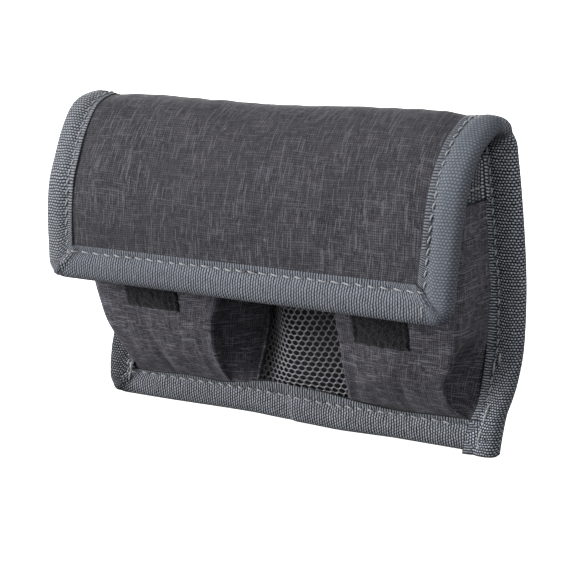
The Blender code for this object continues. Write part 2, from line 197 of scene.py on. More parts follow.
def grid_faces(rows: int, columns: int) -> tuple[Array, Array]:
    """The number of each point of a grid, and the four corners of each of its faces."""
    index = np.arange(rows * columns).reshape(rows, columns)
    ring = [index[:-1, :-1], index[:-1, 1:], index[1:, 1:], index[1:, :-1]]
    return index, np.stack(ring, axis=-1).reshape(-1, 4)


def quad_piece(name: str, points: Array, faces: Array, cloth: Array) -> bpy.types.Object:
    """A smooth object of quads in the scene, with each vertex's place on the cloth as its UV map."""
    mesh = bpy.data.meshes.new(name)
    mesh.from_pydata(points, [], faces)
    layer = mesh.uv_layers.new(name="cloth")
    layer.data.foreach_set("uv", cloth[faces.reshape(-1)].astype(np.float32).reshape(-1))
    mesh.shade_smooth()
    piece = bpy.data.objects.new(name, mesh)
    bpy.context.scene.collection.objects.link(piece)
    return piece


def cloth_piece(name: str, points: Array, cloth: Array, turned: bool = False) -> bpy.types.Object:
    """A quad surface through a grid of points, with the cloth's own measure as its UV map.

    Args:
        name: The piece's name.
        points: The grid, rows by columns by 3.
        cloth: Place of each grid point on the cloth, rows by columns by 2, in millimetres.
        turned: Whether the faces are listed the other way round, to face outwards.

    Returns:
        The new object.
    """
    faces = grid_faces(*points.shape[:2])[1]
    faces = faces[:, ::-1].copy() if turned else faces
    return quad_piece(name, points.reshape(-1, 3), faces, cloth.reshape(-1, 2))


def thicken(piece: bpy.types.Object, thickness: float, offset: float = 0.0) -> bpy.types.Object:
    """Gives an open surface its cloth thickness with Solidify."""
    solid = piece.modifiers.new("cloth_thickness", "SOLIDIFY")
    solid.thickness = thickness
    solid.offset = offset
    solid.use_even_offset = False
    solid.use_quality_normals = True
    return piece


class NodeSketch:
    """Short calls for adding and joining nodes in one shader tree."""

    def __init__(self, tree: bpy.types.NodeTree) -> None:
        """Keeps the tree that the nodes go into."""
        self.tree = tree

    def add(self, kind: str, settings: dict | None = None, **inputs) -> bpy.types.Node:
        """Adds a node and fills its sockets.

        Args:
            kind: The node's type name.
            settings: Properties of the node itself.
            inputs: Socket names, with _ for a space, and the value or socket for each.

        Returns:
            The new node.
        """
        node = self.tree.nodes.new(kind)
        for name, value in (settings or {}).items():
            setattr(node, name, value)
        for name, value in inputs.items():
            self.feed(node.inputs[name.replace("_", " ")], value)
        return node

    def feed(self, socket: bpy.types.NodeSocket, value) -> None:
        """Joins a socket to a socket, or sets its plain value."""
        if isinstance(value, bpy.types.NodeSocket):
            self.tree.links.new(value, socket)
        else:
            socket.default_value = value

    def math(self, operation: str, *values, clamp: bool = False) -> bpy.types.NodeSocket:
        """One Math node on the given values.

        Args:
            operation: The node's operation.
            values: Its inputs, in order.
            clamp: Whether the result is held to 0..1.

        Returns:
            The result's socket.
        """
        node = self.add("ShaderNodeMath", {"operation": operation, "use_clamp": clamp})
        for socket, value in zip(node.inputs, values):
            self.feed(socket, value)
        return node.outputs[0]

    def times(self, *values, clamp: bool = False) -> bpy.types.NodeSocket:
        """The product of two values."""
        return self.math("MULTIPLY", *values, clamp=clamp)

    def times_plus(self, *values) -> bpy.types.NodeSocket:
        """The first value times the second, plus the third."""
        return self.math("MULTIPLY_ADD", *values)

    def group(self, name: str, **inputs) -> bpy.types.Node:
        """A shared node group, with its sockets filled."""
        return self.add("ShaderNodeGroup", {"node_tree": shared_group(name)}, **inputs)

    def ramp(
        self, value, low: float, high: float, start: float = 0.0, end: float = 1.0
    ) -> bpy.types.NodeSocket:
        """A smooth step of a value from start to end as it goes from low to high."""
        settings = {"interpolation_type": "SMOOTHSTEP"}
        node = self.add("ShaderNodeMapRange", settings, Value=value)
        for name, number in (("From Min", low), ("From Max", high), ("To Min", start), ("To Max", end)):
            self.feed(node.inputs[name], number)
        return node.outputs["Result"]

    def blend(self, share, first, second) -> bpy.types.NodeSocket:
        """A colour between two colours, by a share."""
        node = self.add("ShaderNodeMix", {"data_type": "RGBA"})
        for index, value in ((0, share), (6, first), (7, second)):
            self.feed(node.inputs[index], value)
        return node.outputs[2]

    def noise(self, place, scale: float, detail: float = 2.0, rough: float = 0.5) -> bpy.types.NodeSocket:
        """The grey value of a noise at a place."""
        node = self.add("ShaderNodeTexNoise", None, Vector=place, Scale=scale, Detail=detail, Roughness=rough)
        return node.outputs["Fac"]

    def stretched(self, place, across: float, along: float) -> bpy.types.NodeSocket:
        """A place with its two cloth directions scaled apart."""
        node = self.add("ShaderNodeMapping", None, Vector=place, Scale=(across, along, 1.0))
        return node.outputs["Vector"]

    def parts(self, place) -> tuple[bpy.types.NodeSocket, bpy.types.NodeSocket]:
        """The two cloth directions of a place."""
        node = self.add("ShaderNodeSeparateXYZ", None, Vector=place)
        return node.outputs["X"], node.outputs["Y"]


def new_group(
    name: str, inputs: tuple, outputs: tuple
) -> tuple[bpy.types.NodeTree, NodeSketch, dict, bpy.types.Node]:
    """A shader node group with its sockets made.

    Args:
        name: The group's name.
        inputs: (socket name, socket kind, value) rows.
        outputs: (socket name, socket kind) rows.

    Returns:
        The group, its sketch, its input sockets by name and its output node.
    """
    tree = bpy.data.node_groups.new(name, "ShaderNodeTree")
    for label, kind, value in inputs:
        socket = tree.interface.new_socket(name=label, in_out="INPUT", socket_type=kind)
        if value is not None:
            socket.default_value = value
    for label, kind in outputs:
        tree.interface.new_socket(name=label, in_out="OUTPUT", socket_type=kind)
    sketch = NodeSketch(tree)
    entry = tree.nodes.new("NodeGroupInput")
    leave = tree.nodes.new("NodeGroupOutput")
    return tree, sketch, {socket.name: socket for socket in entry.outputs if socket.name}, leave


FLOAT = "NodeSocketFloat"
VECTOR = "NodeSocketVector"


def bead_weave_group() -> bpy.types.NodeTree:
    """Ribs across a tape, each cut into beads that step by half a bead from rib to rib.

    The height is sin(pi a) times sin(pi b), where a and b are the places inside one rib and
    one bead. Near both long edges the beads run together into plain ribs.

    Returns:
        The node group, whose Cloth input is a place on the tape in millimetres.
    """
    inputs = (("Cloth", VECTOR, None), ("Rib", FLOAT, 0.8), ("Bead", FLOAT, 0.9))
    inputs += (("Width", FLOAT, 22.0), ("Dent", FLOAT, 0.6))
    tree, sketch, given, leave = new_group("bead_weave", inputs, (("Height", FLOAT), ("Fleck", FLOAT)))
    along, across = sketch.parts(given["Cloth"])
    wobble = sketch.noise(given["Cloth"], 0.35, 2.0)
    sway = sketch.times_plus(wobble, 0.9, along)
    ribs = sketch.math("DIVIDE", sway, given["Rib"])
    step = sketch.times(sketch.math("FLOORED_MODULO", sketch.math("FLOOR", ribs), 2.0), 0.5)
    beads = sketch.math("ADD", sketch.math("DIVIDE", across, given["Bead"]), step)
    rib_wave = sketch.math("SINE", sketch.times(sketch.math("FRACT", ribs), pi))
    bead_wave = sketch.math("SINE", sketch.times(sketch.math("FRACT", beads), pi))
    middle = sketch.times(given["Width"], 0.5)
    reach = sketch.math("ABSOLUTE", sketch.math("SUBTRACT", across, middle))
    inward = sketch.math("SUBTRACT", middle, reach)
    joined = sketch.math("MAXIMUM", bead_wave, sketch.times(sketch.ramp(inward, 2.2, 1.4), 0.75))
    dented = sketch.times_plus(joined, given["Dent"], sketch.math("SUBTRACT", 1.0, given["Dent"]))
    height = sketch.times(sketch.times(rib_wave, dented), sketch.ramp(inward, 0.0, 0.4, 0.3, 1.0))
    height = sketch.times(height, sketch.ramp(inward, 1.9, 2.4, 0.84, 1.0))
    fleck = sketch.noise(sketch.stretched(given["Cloth"], 1.6, 0.5), 1.0, 3.0, 0.7)
    sketch.feed(leave.inputs["Height"], height)
    sketch.feed(leave.inputs["Fleck"], fleck)
    return tree


def thread_tone(sketch: NodeSketch, across, along, thread, length: float) -> bpy.types.NodeSocket:
    """A random tone for each short run of each thread: one per (thread number, run number).

    Args:
        sketch: The tree's sketch.
        across: Place across the threads.
        along: Place along them.
        thread: Distance from thread to thread.
        length: Length of one run.

    Returns:
        The tone, from 0 to 1.
    """
    number = sketch.math("FLOOR", sketch.math("DIVIDE", across, thread))
    shift = sketch.add("ShaderNodeTexWhiteNoise", {"noise_dimensions": "1D"}, W=number).outputs["Value"]
    runs = sketch.times_plus(shift, 37.0, sketch.math("DIVIDE", along, length))
    place = sketch.add("ShaderNodeCombineXYZ", None, X=number, Y=sketch.math("FLOOR", runs)).outputs["Vector"]
    return sketch.add("ShaderNodeTexWhiteNoise", {"noise_dimensions": "2D"}, Vector=place).outputs["Value"]


def melange_group() -> bpy.types.NodeTree:
    """Heather cloth: every thread changes tone in short runs, along both directions.

    The tone is a share of the warp's tones plus a share of the weft's, and most runs are alike
    with a few pale ones. The weave is |sin(pi u / 2 thread)| times |sin(pi v / 2 thread)|, to
    the power 0.6.

    Returns:
        The node group, whose Cloth input is a place on the cloth in millimetres.
    """
    inputs = (("Cloth", VECTOR, None), ("Thread", FLOAT, 0.3), ("Warp", FLOAT, 0.5), ("Weft", FLOAT, 0.5))
    outputs = (("Tone", FLOAT), ("Height", FLOAT))
    tree, sketch, given, leave = new_group("melange", inputs, outputs)
    slow = sketch.times(sketch.noise(given["Cloth"], 0.05, 1.0), 2.0)
    waver = sketch.times_plus(sketch.noise(given["Cloth"], 0.8, 2.0), 0.5, slow)
    u, v = (sketch.math("ADD", part, waver) for part in sketch.parts(given["Cloth"]))
    tones, waves = [], []
    for across, along in ((u, v), (v, u)):
        fine = thread_tone(sketch, across, along, given["Thread"], 1.3)
        sparse = sketch.ramp(thread_tone(sketch, across, along, given["Thread"], 3.6), 0.85, 0.95)
        tones.append(sketch.times_plus(fine, 0.8, sketch.times(sparse, 1.5)))
        turns = sketch.times(sketch.math("DIVIDE", across, given["Thread"]), pi / 2)
        waves.append(sketch.math("POWER", sketch.math("ABSOLUTE", sketch.math("SINE", turns)), 0.6))
    tone = sketch.times_plus(tones[0], given["Warp"], sketch.times(tones[1], given["Weft"]))
    weave = sketch.times(*waves)
    woven = sketch.times(sketch.math("ADD", tone, 0.12), sketch.times_plus(weave, 1.2, 0.16))
    cloudy = sketch.ramp(sketch.noise(given["Cloth"], 0.09, 3.0), 0.3, 0.7, 0.9, 1.08)
    sketch.feed(leave.inputs["Tone"], sketch.times(woven, cloudy))
    sketch.feed(leave.inputs["Height"], sketch.times_plus(tone, 0.4, sketch.times(weave, 0.6)))
    return tree


def handling_group() -> bpy.types.NodeTree:
    """Slow, faint patches of handling over a whole piece, and a few pale specks of lint.

    Returns:
        The node group, which reads the piece's own coordinates.
    """
    tree, sketch, _, leave = new_group("handling", (), (("Patch", FLOAT), ("Lint", FLOAT)))
    place = sketch.add("ShaderNodeTexCoord").outputs["Object"]
    patch = sketch.ramp(sketch.noise(place, 28.0, 3.0), 0.3, 0.7)
    spots = sketch.add("ShaderNodeTexVoronoi", {"feature": "F1"}, Vector=place, Scale=260.0)
    lint = sketch.ramp(spots.outputs["Distance"], 0.16, 0.05)
    sparse = sketch.ramp(sketch.noise(place, 90.0, 1.0), 0.62, 0.7)
    sketch.feed(leave.inputs["Patch"], patch)
    sketch.feed(leave.inputs["Lint"], sketch.times(lint, sparse))
    return tree


GROUPS: dict[str, bpy.types.NodeTree] = {}


def shared_group(name: str) -> bpy.types.NodeTree:
    """The named node group, built the first time it is asked for."""
    makers = {"bead_weave": bead_weave_group, "melange": melange_group, "handling": handling_group}
    if name not in GROUPS:
        GROUPS[name] = makers[name]()
    return GROUPS[name]


Colour = tuple[float, float, float]


def rgba(colour: Colour) -> tuple[float, float, float, float]:
    """A colour given in display values 0 to 255, as linear light with full cover.

    The display curve is undone: c / 12.92 below 0.04045, else ((c + 0.055) / 1.055)^2.4.
    """
    share = np.array(colour, dtype=float) / 255.0
    linear = np.where(share <= 0.04045, share / 12.92, ((share + 0.055) / 1.055) ** 2.4)
    return (*(float(value) for value in linear), 1.0)


@dataclass(frozen=True)
class Finish:
    """What every cloth finish of the pouch shares."""

    name: str
    slot: str
    roughness: float = 0.85
    sheen: float = 0.08
    bump: float = 0.12 * MM

    def paint(self, sketch: NodeSketch, place) -> tuple:
        """The finish's own nodes.

        Args:
            sketch: The material's sketch.
            place: The socket of the place on the cloth, in millimetres.

        Returns:
            The sockets of its colour and of its height.
        """
        raise NotImplementedError

    def make(self) -> bpy.types.Material:
        """Builds the material: its shader, with the painted colour and the height as a bump.

        Returns:
            The new material.
        """
        made = bpy.data.materials.new(self.name)
        made.use_nodes = True
        sketch = NodeSketch(made.node_tree)
        shader = made.node_tree.nodes["Principled BSDF"]
        shader.inputs["Roughness"].default_value = self.roughness
        shader.inputs["Sheen Weight"].default_value = self.sheen
        shader.inputs["Sheen Roughness"].default_value = 0.45
        shader.inputs["Specular IOR Level"].default_value = 0.3
        place = sketch.add("ShaderNodeUVMap", {"uv_map": "cloth"}).outputs["UV"]
        colour, height = self.paint(sketch, place)
        sketch.feed(shader.inputs["Base Color"], colour)
        bump = sketch.add("ShaderNodeBump", None, Strength=1.0, Distance=self.bump, Height=height)
        sketch.feed(shader.inputs["Normal"], bump.outputs["Normal"])
        return made

    def handled(self, sketch: NodeSketch, colour, pale: Colour, dull: Colour) -> bpy.types.NodeSocket:
        """A colour with the faint marks of handling on it.

        Args:
            sketch: The material's sketch.
            colour: The clean colour's socket.
            pale: The colour of lint.
            dull: The colour that handled patches lean to.

        Returns:
            The marked colour's socket.
        """
        marks = sketch.group("handling")
        patch = sketch.times(marks.outputs["Patch"], 0.22)
        wear_and_shade = sketch.blend(patch, colour, rgba(dull))
        return sketch.blend(sketch.times(marks.outputs["Lint"], 0.35), wear_and_shade, rgba(pale))


@dataclass(frozen=True)
class HeatherCloth(Finish):
    """Melange cloth whose streaks run mostly one way."""

    dark: Colour = (26, 25, 29)
    light: Colour = (104, 102, 110)
    warp: float = 0.7
    weft: float = 0.3

    def paint(self, sketch: NodeSketch, place) -> tuple:
        """The heather's streaks."""
        weave = sketch.group("melange", Cloth=place, Warp=self.warp, Weft=self.weft)
        share = sketch.times(weave.outputs["Tone"], 0.72)
        colour = sketch.blend(share, rgba(self.dark), rgba(self.light))
        marked = self.handled(sketch, colour, (150, 148, 150), (66, 65, 70))
        return marked, weave.outputs["Height"]


@dataclass(frozen=True)
class RibbedTape(Finish):
    """Woven binding tape with beaded ribs, and painted light and shade by where it runs."""

    gap: Colour = (9, 11, 14)
    crown: Colour = (143, 148, 158)
    # The crowns and gaps below are painted light and shade by where the tape runs: a lighter crown on the
    # flap's left side, a darker one on the right front, paler ones on the panel, and a painted pale rim with
    # lifted gaps on the panel's right side.
    left_lit_crown: Colour = (178, 183, 193)
    right_shaded_crown: Colour = (129, 135, 146)
    panel_lit_crown: Colour = (182, 187, 197)
    panel_right_lit_crown: Colour = (228, 235, 248)
    panel_right_lit_gap: Colour = (20, 24, 31)
    rib: float = 0.77
    bead: float = 0.88
    width: float = 20.6
    side_from: float = 0.052
    right_step: float = 0.004
    left_step: float = 0.006
    back_between: tuple = (0.0075, 0.011)
    dents: tuple = (0.45, 0.75)
    # Share of the painted shade on the right front: 1 paints it, 0 leaves it off.
    wear_and_shade: float = 1.0

    def paint(self, sketch: NodeSketch, place) -> tuple:
        """The tape's beads, with painted light and shade by where they run."""
        weave = sketch.group("bead_weave", Cloth=place, Rib=self.rib, Bead=self.bead, Width=self.width)
        x, y = sketch.parts(sketch.add("ShaderNodeTexCoord").outputs["Object"])
        side = self.side_from
        back = sketch.ramp(y, *self.back_between)
        right = sketch.ramp(x, side, side + self.right_step)
        # Painted shade on the right front of the tape: a darker crown, with its gaps partly filled.
        front_right = sketch.times(right, sketch.math("SUBTRACT", self.wear_and_shade, back), clamp=True)
        dent = sketch.ramp(sketch.math("ABSOLUTE", x), side, side + self.right_step, *self.dents)
        sketch.feed(weave.inputs["Dent"], sketch.times_plus(back, 0.04, dent))
        height = weave.outputs["Height"]
        flecked = sketch.times(height, sketch.ramp(weave.outputs["Fleck"], 0.25, 0.75, 0.7, 1.1))
        # Painted shade on the panel's tape: each crown is cut down, more on the left side.
        shaded = sketch.times(back, sketch.ramp(x, -side, -side - self.left_step, 0.14, 0.32))
        deep = sketch.math("SUBTRACT", flecked, shaded)
        crown = sketch.math("MAXIMUM", sketch.ramp(deep, 0.05, 0.85), sketch.times(front_right, 0.42))
        left = sketch.ramp(x, -side, -side - self.left_step)
        # Painted light and shade by side: lighter crowns on the flap's left, darker on the right front, paler
        # on the panel and palest on the panel's right.
        pale = sketch.blend(left, rgba(self.crown), rgba(self.left_lit_crown))
        pale = sketch.blend(front_right, pale, rgba(self.right_shaded_crown))
        pale = sketch.blend(back, pale, sketch.blend(right, rgba(self.panel_lit_crown), rgba(self.panel_right_lit_crown)))
        # Lifted gaps on the panel's right side, part of its painted pale rim.
        gap = sketch.blend(sketch.times(back, right), rgba(self.gap), rgba(self.panel_right_lit_gap))
        colour = sketch.blend(crown, gap, pale)
        marked = self.handled(sketch, colour, (150, 154, 158), (74, 78, 84))
        return marked, sketch.times(height, sketch.ramp(front_right, 0.0, 1.0, 1.0, 0.55))


@dataclass(frozen=True)
class SewnThread(Finish):
    """Twisted sewing thread."""

    lit: Colour = (186, 187, 190)
    groove: Colour = (120, 121, 124)

    def paint(self, sketch: NodeSketch, place) -> tuple:
        """The thread's twist."""
        along, around = sketch.parts(place)
        twist = sketch.times(sketch.math("ADD", sketch.times(along, 2.4), around), pi)
        wave = sketch.math("ABSOLUTE", sketch.math("SINE", twist))
        return sketch.blend(wave, rgba(self.groove), rgba(self.lit)), wave


@dataclass(frozen=True)
class ClosurePile(Finish):
    """Near-black hook-and-loop pile."""

    base: Colour = (27, 26, 30)
    tip: Colour = (68, 67, 74)
    tuft: float = 2.6

    def paint(self, sketch: NodeSketch, place) -> tuple:
        """The pile's tufts."""
        cells = sketch.add("ShaderNodeTexVoronoi", {"feature": "F1"}, Vector=place, Scale=self.tuft)
        fuzz = sketch.noise(place, 3.5, 4.0, 0.75)
        tuft = sketch.times(sketch.ramp(cells.outputs["Distance"], 0.7, 0.0), fuzz)
        return sketch.blend(sketch.ramp(tuft, 0.1, 0.6), rgba(self.base), rgba(self.tip)), tuft


@dataclass(frozen=True)
class NetStrand(Finish):
    """Knitted net strands, with painted shade along the net's left side.

    The net's left side stands left_foot from the pouch's middle at the foot, and left_lean more
    for each millimetre of height. The painted shade beside it is flank_foot wide at the foot and
    grows by flank_growth for each millimetre.
    """

    lit: Colour = (166, 164, 170)
    groove: Colour = (20, 20, 21)
    foot: float = 8.0
    left_foot: float = 10.9
    left_lean: float = -0.18
    flank_foot: float = 2.2
    flank_growth: float = 0.2

    def paint(self, sketch: NodeSketch, place) -> tuple:
        """The strands, lit along their middles, with painted shade towards the net's left side."""
        height, across = sketch.parts(place)
        spot = sketch.add("ShaderNodeTexCoord").outputs["Object"]
        rise = sketch.math("SUBTRACT", height, self.foot)
        left = sketch.times_plus(rise, self.left_lean, self.left_foot)
        from_left = sketch.times_plus(sketch.parts(spot)[0], 1000.0, left)
        wide = sketch.times_plus(rise, self.flank_growth, self.flank_foot)
        # Painted shade: the strands' lit share falls off towards the net's left side.
        shaded_flank = sketch.math("DIVIDE", from_left, wide)
        crown = sketch.times(sketch.ramp(across, 0.35, 0.85), sketch.ramp(shaded_flank, 0.75, 2.3, 0.1, 1.0))
        fuzz = sketch.noise(spot, 2600.0, 3.0, 0.7)
        lit = sketch.times(crown, sketch.ramp(fuzz, 0.2, 0.7, 0.75, 1.1))
        return sketch.blend(lit, rgba(self.groove), rgba(self.lit)), lit


@dataclass(frozen=True)
class PlainWeave(Finish):
    """Smooth plain lining cloth, or foam with its fine cells."""

    base: Colour = (20, 20, 22)
    crown: Colour = (36, 36, 40)
    thread: float = 0.3

    def paint(self, sketch: NodeSketch, place) -> tuple:
        """The weave's threads."""
        weave = sketch.group("melange", Cloth=place, Thread=self.thread)
        height = weave.outputs["Height"]
        colour = sketch.blend(height, rgba(self.base), rgba(self.crown))
        return self.handled(sketch, colour, (110, 110, 112), self.base), height


class Cloths:
    """Every finish of the pouch, built once and put on its pieces."""

    def __init__(self) -> None:
        """Builds the materials."""
        self.finishes = {
            "flap_heather": HeatherCloth("flap_heather", "heather_cloth"),
            # The pockets wear the flap's heather painted lighter: painted light for the pockets, which sit in
            # the flap's shade.
            "lit_pocket_heather": HeatherCloth(
                "lit_pocket_heather", "heather_cloth", light=(143, 140, 151), warp=0.34, weft=0.66,
            ),
            "tape": RibbedTape("ribbed_tape", "binding_tape", roughness=0.75, bump=0.22 * MM),
            # The hem leaves off the tape's painted shade on the right front.
            "hem": RibbedTape(
                "pocket_hem_tape", "binding_tape", roughness=0.8, bump=0.3 * MM, rib=2.0, bead=0.85,
                width=400.0, dents=(0.9, 0.9), wear_and_shade=0.0,
            ),
            "thread": SewnThread("sewn_thread", "sewing_thread", roughness=0.55, bump=0.06 * MM),
            "pile": ClosurePile("closure_pile", "hook_and_loop", roughness=0.95, sheen=0.15, bump=0.5 * MM),
            "net": NetStrand("net_strand", "air_mesh", roughness=0.7, bump=0.08 * MM),
            "lining": PlainWeave("lining_weave", "lining_cloth", roughness=0.7, bump=0.05 * MM),
            "foam": PlainWeave("padding_foam", "foam", base=(96, 96, 96), crown=(112, 112, 112), thread=0.8),
        }
        self.made = {key: finish.make() for key, finish in self.finishes.items()}

    def dress(self, piece: bpy.types.Object, key: str) -> bpy.types.Object:
        """Puts a finish on a piece.

        Args:
            piece: The piece to dress.
            key: The finish's short name.

        Returns:
            The same piece.
        """
        piece.data.materials.append(self.made[key])
        return piece


@dataclass(frozen=True)
class Laminate:
    """The padded panel and its flap, as one sheet folded over the top.

    A place on it is (x, s, h): x across, s up the panel and on over the fold, with 0 at the
    hinge line, and h out from the middle of its thickness. The flap's side profile is drawn
    for both ends, because the flap twists a little, and read between them by the share of x.
    """

    middle_y: float
    fold_height: float = 85.0 * MM
    flap_length: float = 64.0 * MM
    top_half: float = 63.6 * MM
    hump_height: float = 1.2 * MM
    hump_middle: float = 40.0 * MM
    hump_width: float = 20.0 * MM
    foot_reach: float = 16.0 * MM
    corner: float = 5.0 * MM
    left_edge: tuple = (
        (0.0, 62.4), (7.0, 62.3), (14.0, 61.5), (20.0, 60.4), (28.0, 60.9), (38.0, 62.2), (60.0, 63.3),
        (85.0, 63.6),
    )
    right_edge: tuple = (
        (0.0, 61.9), (5.0, 62.6), (11.0, 63.7), (15.0, 65.1), (20.4, 66.6), (31.4, 68.3), (43.6, 68.6),
        (54.6, 68.2), (72.6, 66.6), (85.0, 65.1),
    )
    flap_left_edge: tuple = (
        (0.0, 63.6), (6.0, 63.8), (12.0, 63.8), (24.0, 63.4), (36.0, 63.2), (58.0, 63.1), (64.0, 62.8),
    )
    flap_right_edge: tuple = ((0.0, 65.1), (5.0, 64.2), (14.0, 63.2), (30.0, 62.0), (64.0, 60.8))
    bottom_edge: tuple = (
        (-62.0, 0.5), (-42.0, 0.6), (-15.0, 1.0), (-4.0, 0.7), (7.0, 0.5), (14.4, 0.3), (22.0, 0.5),
        (33.0, 0.8), (60.0, 0.8),
    )
    left_profile: tuple = (
        (0.0, 85.0), (-0.9, 87.4), (-4.0, 89.0), (-11.6, 87.6), (-17.6, 81.8), (-22.3, 73.8),
        (-25.0, 68.1), (-26.3, 59.7), (-26.5, 49.0), (-26.8, 42.2),
    )
    right_profile: tuple = (
        (0.0, 85.0), (-0.6, 87.6), (-3.2, 89.5), (-7.4, 90.0), (-12.3, 88.3), (-17.2, 85.7),
        (-21.0, 81.5), (-23.6, 76.6), (-25.9, 68.4), (-27.9, 57.0), (-29.4, 43.4),
    )

    def half_width(self, s: Array, x: Array) -> Array:
        """Distance from the middle to the side edge at each s, on the side that x is on."""
        up, over = (s + self.fold_height) / MM, s / MM
        left = np.where(s < 0.0, through(self.left_edge, up), through(self.flap_left_edge, over))
        right = np.where(s < 0.0, through(self.right_edge, up), through(self.flap_right_edge, over))
        return np.where(x < 0.0, left, right) * MM

    def profile(self, s: Array, x: Array) -> tuple[Array, Array]:
        """(y, z) of the middle surface, with y from the panel's middle.

        The flap's top carries a low hump to the right, and the bottom edge is lifted unevenly.

        Args:
            s: Distances up the panel and over the fold.
            x: Distances across.

        Returns:
            The y and z values.
        """
        lean = 0.5 + 0.5 * x / self.top_half
        y, z = 0.0, 0.0
        for share, points in ((1.0 - lean, self.left_profile), (lean, self.right_profile)):
            line, length = curve_through(points, 60)
            along = np.clip(s, 0.0, None) / self.flap_length * length[-1]
            y = y + share * np.interp(along, length, line[:, 0]) * MM
            z = z + share * np.interp(along, length, line[:, 1]) * MM
        beyond = np.clip(s - self.flap_length, 0.0, None)
        on_top = eased(s / (4.0 * MM)) * (1.0 - eased((s - 12.0 * MM) / (14.0 * MM)))
        hump = self.hump_height * bell(x - self.hump_middle, self.hump_width) * on_top
        z = z + np.minimum(s, 0.0) - beyond + hump
        lifted = through(self.bottom_edge, x / MM) * MM * bell(s + self.fold_height, self.foot_reach)
        return y, z + lifted

    def place(self, x: Array, s: Array, h: Array) -> Array:
        """The point at each (x, s, h): the middle surface plus h along its outward normal.

        Args:
            x: Distances across.
            s: Distances up the panel and over the fold.
            h: Heights off the middle of the thickness.

        Returns:
            Points, with the same leading shape and 3 at the end.
        """
        x, s, h = np.broadcast_arrays(x, s, h)
        step = 0.5 * MM
        ahead_y, ahead_z = self.profile(s + step, x)
        behind_y, behind_z = self.profile(s - step, x)
        run_y, run_z = ahead_y - behind_y, ahead_z - behind_z
        run = np.sqrt(run_y**2 + run_z**2)
        y, z = self.profile(s, x)
        return np.stack([x, self.middle_y + y + h * run_z / run, z - h * run_y / run], axis=-1)


@dataclass(frozen=True)
class Outline:
    """The unrolled outline that the tape follows, from the right end of the bottom edge.

    It runs left along the bottom, round the bottom left corner, up the left side, over the
    fold, round the flap's free edge and back down the right side past the bottom. At each
    inset from the edge a corner is a quarter circle of radius (corner - inset), and the
    stations fan towards it over the last stretch of each straight.
    """

    sheet: Laminate
    bottom_start: float = 60.0 * MM
    tail: float = 0.6 * MM
    step: float = 1.0 * MM
    fan: float = 13.0 * MM
    tight: float = 0.2 * MM

    def straight(self, start: Array, stop: Array) -> Array:
        """Stations of one straight between two ends that move with the inset.

        Args:
            start: Where it starts, for each inset.
            stop: Where it stops, for each inset.

        Returns:
            Stations by insets.
        """
        count = max(round(float(stop[0] - start[0]) / self.step), 2) + 1
        line = np.linspace(start[0], stop[0], count)[:, None]
        near_start = np.clip(1.0 - (line - start[0]) / self.fan, 0.0, 1.0)
        near_stop = np.clip(1.0 - (stop[0] - line) / self.fan, 0.0, 1.0)
        return line + (start - start[0]) * near_start + (stop - stop[0]) * near_stop

    def corner(self, middle: tuple[Array, Array], radius: Array, turns: tuple) -> tuple[Array, Array]:
        """Stations round one corner: its middle plus radius times (cos, sin) of the turn.

        Args:
            middle: (x, s) of its middle, for each inset.
            radius: Its radius, for each inset.
            turns: First and last direction from the middle, in degrees.

        Returns:
            x and s, stations by insets, without the two ends.
        """
        turn = np.radians(np.linspace(*turns, 11)[1:-1])[:, None]
        return middle[0] + radius * np.cos(turn), middle[1] + radius * np.sin(turn)

    def places(self, inset: Array) -> tuple[Array, Array]:
        """(x, s) of every station at every inset, once round the outline.

        Args:
            inset: Distances in from the edge, the first of them 0.

        Returns:
            x and s, stations by insets.
        """
        sheet = self.sheet
        radius = np.maximum(sheet.corner - inset, self.tight)
        hold = inset + radius
        low, far = hold - sheet.fold_height, sheet.flap_length - hold
        left, right = np.full_like(hold, -1.0), np.full_like(hold, 1.0)
        low_x = hold - sheet.half_width(low, left)
        far_x = hold - sheet.half_width(far, left)
        far_end = sheet.half_width(far, right) - hold
        bottom = self.straight(np.full_like(hold, -self.bottom_start), -low_x)
        up = self.straight(low, far)
        front = self.straight(far_x, far_end)
        down = self.straight(-far, np.full_like(hold, sheet.fold_height + self.tail))
        first = self.corner((low_x, low), radius, (-90.0, -180.0))
        second = self.corner((far_x, far), radius, (180.0, 90.0))
        third = self.corner((far_end, far), radius, (90.0, 0.0))
        flat = np.zeros_like
        x = [-bottom, first[0], inset - sheet.half_width(up, left), second[0], front, third[0]]
        x.append(sheet.half_width(-down, right) - inset)
        s = [flat(bottom) + inset - sheet.fold_height, first[1], up, second[1]]
        s += [flat(front) + sheet.flap_length - inset, third[1], -down]
        return np.vstack(x), np.vstack(s)


